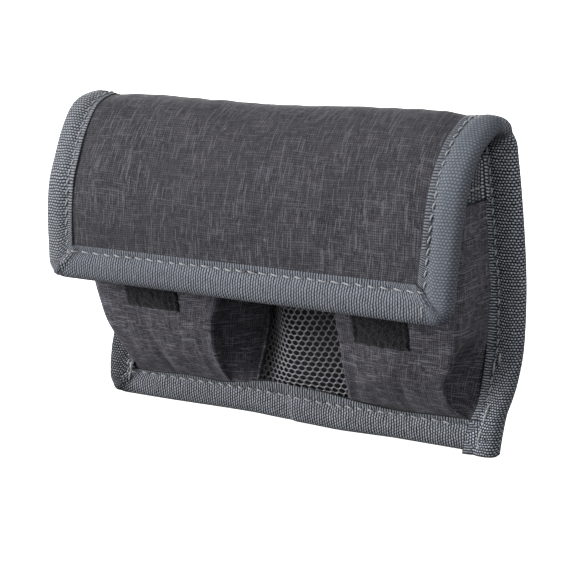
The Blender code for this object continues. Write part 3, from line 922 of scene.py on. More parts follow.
@dataclass(frozen=True)
class EdgeTape:
    """Ribbed tape folded over every edge of the laminate, and the stitches that hold it."""

    outline: Outline
    flange: float = 9.6 * MM
    seam_inset: float = 7.4 * MM
    thickness: float = 0.55 * MM
    overlap_lift: float = 0.65 * MM
    columns: int = 45
    stitch_share: float = 0.68
    tack_size: float = 1.25
    flat_length: float = 0.55
    side_reach: float = 9.6
    side_seam: float = 7.4
    flap_seam: float = 7.5
    outer_seam_at: float = 2.2 * MM
    inner_seam_at: float = 18.4 * MM
    fold_lift: float = 0.7 * MM
    lap_below: float = 70.0 * MM
    front_pitch: float = 3.6
    flap_pitch: float = 2.85
    body_pitch: float = 2.7
    low_pitch: float = 3.3
    front_reach: float = 9.8
    front_seam: float = 7.8
    bottom_seam: float = 7.6
    bottom_reach: tuple = (
        (-54.0, 8.7), (-44.0, 8.7), (-36.0, 9.3), (-28.0, 9.2), (-23.0, 8.5), (-16.0, 9.7), (-10.0, 11.2),
        (-2.0, 11.7), (3.0, 11.5), (14.0, 11.0), (20.0, 10.1), (34.0, 8.9), (46.0, 9.5), (60.0, 9.8),
    )
    right_reach: tuple = (
        (0.0, 8.9), (7.0, 8.9), (9.0, 8.1), (11.0, 7.8), (18.0, 8.6), (28.0, 9.4), (42.0, 9.4), (56.0, 9.1),
        (80.0, 8.9),
    )
    tacks: tuple = (
        (-1.0, 3.15, (60.3, -70.4), (58.6, -77.0)), (-1.0, 3.2, (58.5, -77.2), (57.3, -82.3)),
        (-1.0, 3.2, (57.3, -82.2), (58.2, -83.4)), (-1.0, 2.75, (63.1, -55.4), (62.9, -58.6)),
        (-1.0, 2.75, (61.6, -58.2), (61.2, -61.6)), (1.0, 2.36, (53.3, 57.6), (53.6, 62.4)),
        (-1.0, 3.05, (-53.9, -76.2), (-52.5, -74.4)), (-1.0, 3.05, (-52.3, -76.0), (-53.9, -74.6)),
        (-1.0, 3.2, (-53.1, -74.2), (-53.2, -77.4)), (-1.0, 2.9, (-53.6, -77.0), (-54.4, -80.4)),
    )
    right_seam: tuple = (
        (0.0, 5.8), (10.0, 5.8), (16.0, 5.6), (22.0, 6.2), (44.0, 6.3), (56.0, 6.9), (80.0, 7.0),
    )
    section: tuple = (
        (0.0, 9.6, 1.55), (1.0, 8.6, 1.62), (2.2, 7.4, 1.55), (3.6, 6.0, 1.98), (5.2, 4.4, 2.3),
        (7.6, 2.0, 2.1), (8.9, 0.75, 1.5), (9.9, 0.05, 0.55), (10.3, 0.0, 0.0), (10.7, 0.05, -0.55),
        (11.7, 0.75, -1.6), (13.0, 2.0, -2.2), (15.4, 4.4, -2.5), (17.0, 6.0, -2.4), (18.4, 7.4, -2.2),
        (19.6, 8.6, -2.42), (20.6, 9.6, -2.5),
    )

    @property
    def width(self) -> float:
        """Width of the tape before it is folded."""
        return self.section[-1][0] * MM

    def across(self, v: Array) -> tuple[Array, Array]:
        """(inset, height) of the folded section at distances across the tape."""
        inset = through(tuple((row[0], row[1]) for row in self.section), v / MM) * MM
        height = through(tuple((row[0], row[2]) for row in self.section), v / MM) * MM
        return inset, height

    def lift(self, x: Array, s: Array) -> Array:
        """How far the tape stands over tape that it laps.

        The right tape laps the bottom one at its end. Elsewhere the tape is folded over itself
        along the diagonal of each corner, and the fold fades out beside it.
        """
        sheet = self.outline.sheet
        side = sheet.half_width(s, x) - np.abs(x)
        end = np.where(s > 0.0, sheet.flap_length - s, s + sheet.fold_height)
        past = side - end
        inside = eased((self.flange + 1.0 * MM - np.maximum(side, end)) / (1.5 * MM))
        fold = eased(past / (0.3 * MM) + 0.5) * (1.0 - eased((past - 2.4 * MM) / (0.4 * MM)))
        low_right = (x > 0.0) & (s < 0.0)
        end_lap = self.overlap_lift * eased((-s - self.lap_below) / (6.0 * MM))
        return np.where(low_right, end_lap, self.fold_lift * inside * fold)

    def fold_end(self, x: Array) -> Array:
        """1 at the right end of the fold, easing to 0 a little way in."""
        return eased((x - 50.0 * MM) / (6.0 * MM))

    def crease(self, x: Array, s: Array, inset: Array) -> Array:
        """How far the tape's edge is drawn in by the crease of the fold, at its right end."""
        return self.fold_end(x) * 0.75 * MM * bell(s - 2.4 * MM, 1.3 * MM) * (1.0 - eased(inset / (5.0 * MM)))

    def pinch(self, x: Array, s: Array) -> Array:
        """How far the inner side is drawn in where the tape folds over the top, at its right end."""
        return self.fold_end(x) * 0.85 * MM * bell(s + 0.6 * MM, 3.4 * MM)

    def caught(self, x: Array, s: Array, inset: Array) -> tuple[Array, Array]:
        """(x, s) where the folded tape is caught unevenly by its seam.

        The seam and the tape's long edge stand at their own insets on each station. An inset
        up to the seam is scaled to it, and the strip beyond is stretched or drawn in.

        Args:
            x: Distances across, stations by insets, the first of them on the edge.
            s: Distances up the laminate, the same way.
            inset: Nominal distance in from the edge, the first of them 0.

        Returns:
            The moved x and s, without the first inset.
        """
        edge_x, edge_s = x[:, :1] / MM, s[:, :1] / MM
        up = edge_s + self.outline.sheet.fold_height / MM
        body, low = edge_s < 0.0, up < 0.5
        side = np.where(edge_x > 0.0, 0.0, 1.0)
        reach = np.where(side > 0.0, self.side_reach, through(self.right_reach, up))
        reach = np.where(body, reach, self.side_reach - 0.6 * side)
        seam = np.where(side > 0.0, self.side_seam, through(self.right_seam, up))
        seam = np.where(body, seam, self.flap_seam - 0.5 * side)
        front = edge_s > (self.outline.sheet.flap_length / MM - 1.0)
        reach, seam = np.where(front, self.front_reach, reach), np.where(front, self.front_seam, seam)
        along_bottom = low & (np.abs(np.gradient(edge_x[:, 0]))[:, None] > 0.3)
        reach = np.where(along_bottom, through(self.bottom_reach, edge_x), reach)
        seam = np.where(along_bottom, self.bottom_seam, seam)
        pad = np.ones(7) / 7.0
        reach, seam = (
            np.convolve(np.pad(row[:, 0], 3, "edge"), pad, "valid")[:, None] for row in (reach, seam)
        )
        nominal, hold, flange = inset[1:] / MM, self.seam_inset / MM, self.flange / MM
        beyond = seam + (nominal - hold) * (reach - seam) / (flange - hold)
        share = np.where(nominal > hold, beyond, nominal * seam / hold) / np.maximum(nominal, 1e-3)
        return x[:, :1] + (x[:, 1:] - x[:, :1]) * share, s[:, :1] + (s[:, 1:] - s[:, :1]) * share

    def stitch_dip(self, s: Array, x: Array, inset: Array, seed: int) -> Array:
        """Puckers along the seam: a groove at the seam's inset, deeper on some stitches."""
        groove = bell(inset - self.seam_inset, 1.0 * MM)
        along = np.sin(2 * pi * (x + s) / (3.0 * MM))
        return groove * (0.14 + 0.10 * along + 0.08 * rumple(x, s, seed, 9.0 * MM)) * MM

    def build(self) -> bpy.types.Object:
        """The tape: the folded section carried along the outline of the laminate.

        Returns:
            The tape's object.
        """
        v = np.linspace(0.0, self.width, self.columns)
        inset, height = self.across(v)
        order = np.concatenate([[0.0], inset])
        stations = self.outline.places(order)
        edge_x, edge_s = (grid[:, 0] for grid in stations)
        x, s = self.caught(*stations, order)
        edge = self.outline.sheet.place(edge_x, edge_s, np.zeros_like(edge_x))
        along = running(edge)
        away = np.sign(height) * (self.lift(x, s) - self.stitch_dip(s, x, inset, 3))
        swell = rumple(x, s, 11, 24.0 * MM) * 0.12 * MM * eased(inset / (2.0 * MM))
        pinched = np.where(height < 0.0, self.pinch(x, s) * np.minimum(-height / MM, 1.0), 0.0)
        points = self.outline.sheet.place(x, s, height + away + swell + pinched)
        points[..., 0] -= self.crease(x, s, inset)
        cloth = stacked(along[:, None] / MM, v[None, :] / MM)
        return thicken(cloth_piece("edge_tape", points, cloth), self.thickness)

    def seam(self, face: float) -> tuple[Array, Array, Array, Array]:
        """The seam's line on one face.

        Args:
            face: 1 for the outside, -1 for the inside.

        Returns:
            Points, outward normals, and x and s along the line.
        """
        inset = np.array([0.0, self.seam_inset])
        x, s = (grid[:, 0] for grid in self.caught(*self.outline.places(inset), inset))
        v = self.outer_seam_at if face > 0 else self.inner_seam_at
        height = self.across(np.array([v]))[1][0]
        fine = np.linspace(0.0, len(x) - 1.0, 10 * len(x))
        x, s = (np.interp(fine, np.arange(len(x)), row) for row in (x, s))
        lift = self.lift(x, s) - self.stitch_dip(s, x, np.full_like(x, self.seam_inset), 3)
        level = height + np.sign(height) * (lift + self.thickness / 2)
        points = self.outline.sheet.place(x, s, level)
        normals = self.outline.sheet.place(x, s, level + face * MM) - points
        return points, normals / MM, x, s

    def tack_lines(self) -> tuple[Array, Array]:
        """Lines and outward directions of the extra stitches at the ends of the seams.

        Each row of tacks holds its face, its height and the (x, s) of both ends in millimetres.
        """
        lines, ups = [], []
        for face, height, start, stop in self.tacks:
            x, s = (np.array([first, last]) * MM for first, last in zip(start, stop))
            x, s = (row[0] + (row[1] - row[0]) * STITCH_SHARE for row in (x, s))
            level = np.full_like(STITCH_SHARE, face * height * MM)
            above = np.full_like(STITCH_SHARE, face * (height + 1.0) * MM)
            lines.append(self.outline.sheet.place(x, s, level))
            ups.append((self.outline.sheet.place(x, s, above) - lines[-1]) / MM)
        return np.stack(lines), np.stack(ups)

    def stitches(self) -> bpy.types.Object:
        """Every stitch of the seam, on both faces: short arched runs of thread.

        Returns:
            The stitches' object.
        """
        rng = np.random.default_rng(5)
        lines, ups = [], []
        for face in (1.0, -1.0):
            points, normals, x, s = self.seam(face)
            length = running(points)
            on_flap = np.where(s > 55.0 * MM, self.front_pitch, self.flap_pitch)
            on_body = np.where(s > -77.0 * MM, self.body_pitch, self.low_pitch)
            pitch = np.where(s > 0.0, on_flap, on_body) * MM
            count = np.concatenate([[0.0], np.cumsum(np.diff(length) / pitch[1:])])
            starts = np.arange(0.2, count[-1] - 1.0, 1.0)
            starts = starts + rng.uniform(-0.05, 0.05, len(starts))
            tacked = (np.interp(starts, count, s) < -69.5 * MM) & (np.interp(starts, count, x) > 50.0 * MM)
            starts = starts[~tacked] if face < 0.0 else starts
            at = starts[:, None] + self.stitch_share * STITCH_SHARE[None, :]
            line, up = read_line(at, count, points), read_line(at, count, normals)
            slant = (STITCH_SHARE[None, :] - 0.5) * 0.5 * MM + rng.uniform(-0.1, 0.1, (len(starts), 1)) * MM
            lines.append(arched(line, up, slant))
            ups.append(up)
        line, up = self.tack_lines()
        size = np.concatenate([np.full(sum(map(len, lines)), 1.0), np.full(len(line), self.tack_size)])
        lines.append(arched(line, up, np.zeros(line.shape[:2])))
        ups.append(up)
        radius = thread_radius(STITCH_SHARE) * size[:, None]
        return quad_piece("edge_stitches", *tubes(np.vstack(lines), np.vstack(ups), radius))


def arched(line: Array, up: Array, slant: Array) -> Array:
    """Stitch lines raised into a low arch, and turned a little off the seam.

    Args:
        line: Stitches by points by 3, on the cloth.
        up: The outward direction at each point.
        slant: How far each point steps aside, in metres, stitches by points.

    Returns:
        The raised lines.
    """
    share = np.linspace(0.0, 1.0, line.shape[1])
    side = np.cross(np.gradient(line, axis=1), up)
    side /= np.linalg.norm(side, axis=-1, keepdims=True)
    arch = np.sin(pi * share) ** 0.6 * 0.34 * MM - 0.12 * MM
    return line + up * arch[None, :, None] + side * slant[..., None]


def thread_radius(share: Array) -> Array:
    """The thread's radius along one stitch: it is drawn thin where it enters the cloth."""
    return 0.27 * MM * np.sin(pi * (0.1 + 0.8 * share)) ** 0.4


def tubes(line: Array, up: Array, radius: Array, sides: int = 6) -> tuple[Array, Array, Array]:
    """Closed tubes round many short lines at once.

    A ring is the line's point plus radius times (cos t side + sin t up), and each tube ends in
    a ring drawn to a point.

    Args:
        line: Tubes by points by 3.
        up: An upward direction at each point.
        radius: Radius of each tube at each point.
        sides: How many sides a tube has.

    Returns:
        Vertices, quad faces and the cloth place of each vertex.
    """
    count, rings = line.shape[:2]
    run = np.gradient(line, axis=1)
    run /= np.linalg.norm(run, axis=-1, keepdims=True)
    side = np.cross(run, up)
    side /= np.linalg.norm(side, axis=-1, keepdims=True)
    over = np.cross(side, run)
    ends = np.concatenate([line[:, :1], line, line[:, -1:]], axis=1)
    side, over = (np.concatenate([part[:, :1], part, part[:, -1:]], axis=1) for part in (side, over))
    reach = np.concatenate([radius[:, :1] * 0.02, radius, radius[:, -1:] * 0.02], axis=1)[..., None, None]
    turn = np.linspace(0.0, 2 * pi, sides, endpoint=False)
    round_side = np.cos(turn)[None, None, :, None] * side[:, :, None]
    points = ends[:, :, None] + reach * (round_side + np.sin(turn)[None, None, :, None] * over[:, :, None])
    index = np.arange(count * (rings + 2) * sides).reshape(count, rings + 2, sides)
    after = np.roll(index, -1, axis=2)
    quads = np.stack([index[:, :-1], after[:, :-1], after[:, 1:], index[:, 1:]], axis=-1).reshape(-1, 4)
    along = np.arange(rings + 2.0)[None, :, None] * 0.35
    places = np.tile(stacked(along, turn[None, None, :] / pi), (count, 1, 1, 1))
    return points.reshape(-1, 3), quads, places.reshape(-1, 2)


@dataclass(frozen=True)
class PaddedPanel:
    """The laminate's three layers: outer cloth, padding and inner cloth."""

    sheet: Laminate
    tape_inset: float = 7.4 * MM
    cloth_inset: float = 2.6 * MM
    outer_height: float = 1.3 * MM
    inner_height: float = -1.35 * MM
    puff: float = 0.55 * MM
    fill: float = 0.6
    corner: float = 3.0 * MM
    padding_inset: float = 3.6 * MM
    cloth_thickness: float = 0.45 * MM
    columns: int = 150
    rows: int = 190

    def grid(self, inset: float, columns: int, rows: int) -> tuple[Array, Array]:
        """(x, s) over the laminate, this far in from its outline, with rounded corners."""
        s = np.linspace(inset - self.sheet.fold_height, self.sheet.flap_length - inset, rows)[:, None]
        across = np.linspace(-1.0, 1.0, columns)[None, :]
        near = np.minimum(s + self.sheet.fold_height, self.sheet.flap_length - s) - inset
        past = np.clip(self.corner - near, 0.0, self.corner)
        lost = self.corner - np.sqrt(self.corner**2 - past**2)
        x = across * (self.sheet.half_width(s, across) - inset - lost)
        return x, np.broadcast_to(s, x.shape)

    def fullness(self, x: Array, s: Array) -> Array:
        """0 at the tape's seam, rising to 1 well inside it."""
        side = self.sheet.half_width(s, x) - np.abs(x)
        end = np.minimum(s + self.sheet.fold_height, self.sheet.flap_length - s)
        near = np.minimum(side, end) - self.tape_inset
        return eased(near / (9.0 * MM))

    def layer(self, name: str, height: float, face: float, inset: float, seed: int) -> bpy.types.Object:
        """One cloth of the laminate, as an open surface with the cloth's thickness.

        Args:
            name: The piece's name.
            height: Its height at the tape.
            face: 1 for the outside, -1 for the inside.
            inset: How far in from the outline it stops.
            seed: Which unevenness it has.

        Returns:
            The cloth's object.
        """
        x, s = self.grid(inset, self.columns, self.rows)
        full = self.fullness(x, s)
        soft = 0.22 * MM * rumple(x, s, seed, 34.0 * MM) + 0.08 * MM * rumple(x, s, seed + 1, 11.0 * MM)
        level = height + face * full * (self.puff + soft)
        points = self.sheet.place(x, s, level)
        cloth = stacked(x / MM, s / MM)
        return thicken(cloth_piece(name, points, cloth, turned=face > 0), self.cloth_thickness)

    def padding(self) -> bpy.types.Object:
        """The padding: a closed pillow between the two cloths, drawn thin under the tape.

        Returns:
            The padding's object.
        """
        x, s = self.grid(self.padding_inset, 60, 110)
        full = self.fullness(x, s)
        thick = (0.75 + 0.35 * full) * MM
        top, bottom = self.sheet.place(x, s, thick), self.sheet.place(x, s, -thick)
        index, lid = grid_faces(*x.shape)
        ring = np.concatenate([index[0], index[1:, -1], index[-1, -2::-1], index[-2:0:-1, 0]])
        after = np.roll(ring, -1)
        wall = np.stack([ring, after, after + index.size, ring + index.size], axis=-1)
        faces = np.vstack([lid[:, ::-1], lid + index.size, wall])
        cloth = np.tile(stacked(x / MM, s / MM).reshape(-1, 2), (2, 1))
        return quad_piece("padding", np.vstack([top.reshape(-1, 3), bottom.reshape(-1, 3)]), faces, cloth)


def grid_normals(points: Array) -> Array:
    """Unit normals of a grid: the cross product of its two directions of travel."""
    normal = np.cross(np.gradient(points, axis=0), np.gradient(points, axis=1))
    return normal / np.linalg.norm(normal, axis=-1, keepdims=True)


def spline_weights(corners: int, place: Array) -> Array:
    """Weights of a uniform cubic B-spline, clamped to its first and last corner.

    Args:
        corners: How many corners the spline has.
        place: Places along it, from 0 to corners - 1.

    Returns:
        Places by corners.
    """
    pad = np.vstack([np.eye(corners)[0] * 2 - np.eye(corners)[1], np.eye(corners)])
    pad = np.vstack([pad, np.eye(corners)[-1] * 2 - np.eye(corners)[-2]])
    start = np.minimum(place.astype(int), corners - 2)
    t = (place - start)[:, None]
    parts = ((1 - t) ** 3, 3 * t**3 - 6 * t**2 + 4, -3 * t**3 + 3 * t**2 + 3 * t + 1, t**3)
    return sum(part * pad[start + k] for k, part in enumerate(parts)) / 6


@dataclass(frozen=True)
class PocketShape:
    """Where one pocket's cloth turns at each height, as (height, distance) rows in millimetres.

    Distances are from the middle of the pouch, and depths from the middle of its thickness.
    """

    outer: tuple
    inner: tuple
    divider: tuple
    depth: tuple
    tuck: tuple
    patch_middle: float
    patch_width: float
    patch_low: float


LEFT_POCKET = PocketShape(
    outer=(
        (8.0, 51.6), (11.0, 50.6), (13.0, 51.0), (17.0, 52.0), (22.3, 53.0), (28.0, 54.0), (38.0, 55.5),
        (50.0, 56.0), (80.0, 55.0),
    ),
    inner=(
        (8.0, 19.4), (12.3, 19.0), (17.0, 18.6), (24.0, 17.8), (31.0, 16.4), (38.0, 13.4), (50.0, 10.8),
        (65.0, 9.4), (80.0, 8.6),
    ),
    divider=(
        (8.0, 10.8), (12.0, 10.2), (19.5, 8.2), (25.0, 7.0), (33.0, 6.0), (45.0, 5.0), (65.0, 3.0),
        (80.0, 1.2),
    ),
    depth=(
        (7.0, 1.9), (9.2, 2.0), (10.2, 2.9), (11.5, 4.4), (13.2, 6.3), (18.9, 11.0), (25.9, 14.8),
        (33.0, 17.3), (43.0, 18.8), (60.0, 19.0), (80.0, 16.5),
    ),
    tuck=((8.0, 0.0), (80.0, 0.0)),
    patch_middle=35.0,
    patch_width=17.6,
    patch_low=33.4,
)
RIGHT_POCKET = PocketShape(
    outer=(
        (8.0, 54.4), (10.8, 53.0), (12.0, 51.6), (14.4, 50.4), (19.2, 50.6), (24.5, 52.6), (29.3, 55.2),
        (33.0, 57.0), (38.0, 58.2), (50.0, 58.4), (80.0, 57.0),
    ),
    inner=(
        (8.0, 18.6), (12.0, 19.8), (16.0, 21.3), (24.0, 22.0), (39.0, 22.3), (50.0, 21.0), (65.0, 19.0),
        (80.0, 17.0),
    ),
    divider=((8.0, 18.3), (12.0, 18.3), (30.0, 17.0), (50.0, 15.0), (80.0, 12.0)),
    depth=(
        (7.0, 1.9), (9.4, 2.0), (10.4, 2.9), (11.5, 4.3), (13.2, 6.0), (18.9, 10.6), (25.9, 14.6),
        (33.0, 17.2), (43.0, 18.8), (60.0, 19.0), (80.0, 16.5),
    ),
    tuck=((8.0, 1.0), (26.0, 1.0), (37.0, 0.0), (80.0, 0.0)),
    patch_middle=35.6,
    patch_width=17.0,
    patch_low=31.4,
)


@dataclass(frozen=True)
class Pocket:
    """One bulging battery pocket, its mouth's hem and its loop patch."""

    sheet: Laminate
    side: Side
    shape: PocketShape
    low: float = 7.8
    mouth: float = 80.4
    mouth_fall: float = -1.5
    foot: float = 1.9
    flange: float = 9.8
    under_tape: float = 2.8
    undercut: float = 4.8
    cloth_thickness: float = 0.5 * MM
    hem_width: float = 10.0
    hem_seam_rise: float = 3.3
    hem_away: float = 0.75
    hem_stitch_pitch: float = 3.4
    hem_stitch_length: float = 2.3
    patch_top: float = 60.0
    patch_spans: tuple = (4.4, 8.6)
    flat_size: tuple = (0.082, 0.073)
    columns: int = 210
    rows: int = 150
    pleats: tuple = ((0.36, 0.03, 0.45, 0.2), (0.52, 0.04, 0.35, 0.15), (0.6, 0.03, 0.4, 0.2))
    span_lengths: tuple = (
        1.0, 1.0, 1.0, 1.2, 1.0, 2.0, 4.0, 2.0, 1.0, 0.8, 1.0, 1.0, 1.2, 1.2, 1.0, 1.0, 0.6,
    )

    @property
    def places(self) -> Array:
        """Where the columns stand on the section's spline, closer together on its turns."""
        reach = np.concatenate([[0.0], np.cumsum(self.span_lengths)])
        return np.interp(np.linspace(0.0, reach[-1], self.columns), reach, np.arange(len(reach)))

    def surface(self, z: Array) -> Array:
        """Points of the pocket's cloth at given heights.

        Each row is a spline down the outer wall, across the front, sharply round its inner
        edge and back along the gusset to the divider.

        Args:
            z: Heights in millimetres.

        Returns:
            Rows by columns by 3, in metres.
        """
        sign = np.full_like(z, self.side.sign)
        brink = self.sheet.half_width(z * MM - self.sheet.fold_height, sign) / MM - self.flange
        outer, edge = through(self.shape.outer, z), through(self.shape.inner, z)
        divider, deep = through(self.shape.divider, z), through(self.shape.depth, z)
        tuck = through(self.shape.tuck, z)
        foot, reach, wide = np.full_like(z, self.foot), deep - self.foot, outer - edge
        cut = foot + np.maximum(reach - self.undercut, reach * 0.65)
        hollow, side = cut - foot, divider - edge
        corners = np.array([
            (brink + self.under_tape, foot),
            (brink + 0.4, foot + 0.05),
            (brink + (outer - brink) * (0.35 + 0.45 * tuck), foot + reach * (0.30 - 0.26 * tuck)),
            (outer - 5.5 * tuck, foot + reach * (0.62 - 0.04 * tuck)),
            (outer - 0.3 + 1.2 * tuck, deep * (0.98 - 0.04 * tuck)),
            (outer - wide * (0.10 - 0.08 * tuck), deep),
            (outer - wide * 0.35, deep * 1.03),
            (edge + wide * 0.30, deep * 1.03),
            (edge + wide * 0.06, deep),
            (edge, deep * 0.995),
            (edge + 0.2, foot + (deep - foot) * 0.5 + hollow * 0.5),
            (edge + 0.4, cut),
            (edge + side * 0.25, foot + hollow * 0.88),
            (edge + side * 0.55, foot + hollow * 0.62),
            (edge + side * 0.82, foot + hollow * 0.3),
            (edge + side * 0.93, foot + hollow * 0.08),
            (edge + side * 0.98, foot + np.minimum(hollow * 0.2, 1.1)),
            (divider, foot),
        ])
        flat = np.einsum("ck,kdr->rcd", spline_weights(len(corners), self.places), corners)
        forward = (flat[..., 1] - self.foot) / through(self.shape.depth, np.array([60.0]))
        fall = self.mouth_fall * forward * eased((z[:, None] - 42.0) / (self.mouth - 42.0))
        across = self.side.sign * flat[..., 0] * MM
        return np.stack([across, self.sheet.middle_y - flat[..., 1] * MM, (z[:, None] - fall) * MM], axis=-1)

    def inward(self, points: Array) -> Array:
        """Unit normals that point into the pocket."""
        return grid_normals(points) * -self.side.sign

    def crumpled(self, z: Array) -> Array:
        """The cloth with its soft unevenness and the pleats that run up from its bottom seam.

        Each row of pleats holds a middle and width as shares of the way across, a depth in
        millimetres and a reach as a share of the way up.
        """
        points = self.surface(z)
        share = np.linspace(0.0, 1.0, self.columns)[None, :]
        held = np.sin(pi * share) ** 0.5
        rise = (z[:, None] - self.low) / (self.mouth - self.low)
        folds = np.zeros_like(points[..., 0])
        for middle, width, height, reach in self.pleats:
            folds += height * bell(share - middle, width) * bell(rise - 0.06, reach)
        seed = 21 if self.side is Side.LEFT else 22
        soft = rumple(points[..., 0], points[..., 2], seed, 24.0 * MM) * 0.35
        fine = rumple(points[..., 0], points[..., 2], seed + 10, 8.0 * MM) * 0.1
        height = (folds + soft + fine) * held * eased((rise + 0.01) / 0.12) * MM
        return points + self.inward(points) * height[..., None]

    def around(self, points: Array) -> Array:
        """Distance round the cloth to each column, in millimetres, measured along the middle row."""
        return running(points[len(points) // 2]) / MM

    def cloth(self) -> bpy.types.Object:
        """The pocket's cloth.

        Returns:
            The pocket's object.
        """
        points = self.crumpled(np.linspace(self.low, self.mouth, self.rows))
        cloth = stacked(self.around(points)[None, :], points[..., 2] / MM)
        turned = self.side is Side.RIGHT
        piece = cloth_piece(f"pocket_cloth_{self.side.value}", points, cloth, turned)
        return thicken(piece, self.cloth_thickness)

    def hem(self) -> bpy.types.Object:
        """Tape folded over the mouth: up inside the cloth, over the rim and down outside it.

        Returns:
            The hem's object.
        """
        points = self.crumpled(np.linspace(self.mouth - self.hem_width, self.mouth, 12))[:, 2:-2]
        away = self.inward(points) * self.hem_away * MM
        rim = points[-1] + np.array([0.0, 0.0, 0.7 * MM])
        parts = [points + away, rim[None] + away[-1] * 0.5, rim[None] - away[-1] * 0.5, (points - away)[::-1]]
        rows = np.concatenate(parts)
        over = np.linspace(0.0, 2 * self.hem_width + 1.0, len(rows))
        cloth = stacked(self.around(rows)[None, :], over[:, None])
        return thicken(cloth_piece(f"pocket_hem_tape_{self.side.value}", rows, cloth), 0.5 * MM)

    def hem_seam(self) -> bpy.types.Object:
        """The seam that holds the hem: arched stitches round its outer face.

        Returns:
            The stitches' object.
        """
        level = self.mouth - self.hem_width + self.hem_seam_rise
        rows = self.crumpled(np.linspace(level - 1.0, level + 1.0, 3))[:, 3:-3]
        up = -self.inward(rows)[1]
        points = rows[1] + up * 1.02 * MM
        length = running(points)
        starts = np.arange(1.2 * MM, length[-1] - 3.5 * MM, self.hem_stitch_pitch * MM)
        at = starts[:, None] + STITCH_SHARE[None, :] * self.hem_stitch_length * MM
        line, ups = read_line(at, length, points), read_line(at, length, up)
        line = arched(line, ups, np.zeros(at.shape)) + ups * 0.1 * MM
        radius = np.tile(thread_radius(STITCH_SHARE), (len(at), 1))
        return quad_piece(f"hem_stitches_{self.side.value}", *tubes(line, ups, radius))

    def loop_patch(self) -> bpy.types.Object:
        """Loop patch on the pocket's front: a plush slab that follows the cloth's bulge.

        Returns:
            The patch's object.
        """
        points = self.crumpled(np.linspace(self.low, self.mouth, self.rows))
        sunk = points + self.inward(points) * 0.3 * MM
        first, last = self.patch_spans
        front = sunk[:, (self.places > first) & (self.places < last)][:, ::-1]
        half = self.shape.patch_width / 2
        x = np.linspace(self.shape.patch_middle - half, self.shape.patch_middle + half, 44) * MM
        z = np.linspace(self.shape.patch_low, self.patch_top, 66) * MM
        columns = range(front.shape[1])
        place = np.stack([np.interp(z, front[:, k, 2], np.abs(front[:, k, 0])) for k in columns], axis=1)
        depth = np.stack([np.interp(z, front[:, k, 2], front[:, k, 1]) for k in columns], axis=1)
        y = np.stack([np.interp(x, places, depths) for places, depths in zip(place, depth)])
        grid_x, grid_z = np.meshgrid(x, z)
        beside = np.minimum(grid_x - x[0], x[-1] - grid_x)
        edge = np.minimum(beside, np.minimum(grid_z - z[0], z[-1] - grid_z))
        selvedge = 1.0 - 0.45 * bell(beside - 1.7 * MM, 0.5 * MM)
        plump = 0.75 * MM * eased(edge / (0.9 * MM)) * selvedge
        plump += 0.14 * MM * rumple(grid_x, grid_z, 8, 2.2 * MM)
        points = np.stack([self.side.sign * grid_x, y - plump - 0.25 * MM, grid_z], axis=-1)
        cloth = stacked(grid_x / MM, grid_z / MM)
        turned = self.side is Side.LEFT
        return thicken(cloth_piece(f"loop_tape_{self.side.value}", points, cloth, turned), 0.5 * MM)


@dataclass(frozen=True)
class HookPatches:
    """The two hook patches under the flap."""

    sheet: Laminate
    middle: float = 35.0 * MM
    width: float = 16.5 * MM
    length: float = 18.0 * MM
    to_edge: float = 10.6 * MM
    height: float = 2.35 * MM

    def build(self, side: Side) -> bpy.types.Object:
        """One patch: a low plush slab on the flap's lining.

        Args:
            side: Which patch.

        Returns:
            The patch's object.
        """
        across = np.linspace(-0.5, 0.5, 30)[None, :] * self.width
        end = self.sheet.flap_length - self.to_edge
        s = np.linspace(end - self.length, end, 32)[:, None]
        x = side.sign * self.middle + across
        edge = np.minimum(self.width / 2 - np.abs(across), np.minimum(s - s[0], s[-1] - s))
        plump = 0.5 * MM * eased(edge / (1.0 * MM)) + 0.1 * MM * rumple(x, s, 14, 2.0 * MM)
        points = self.sheet.place(x, s, -self.height - plump)
        cloth = stacked(x / MM, s / MM)
        return thicken(cloth_piece(f"hook_tape_{side.value}", points, cloth), 0.6 * MM)


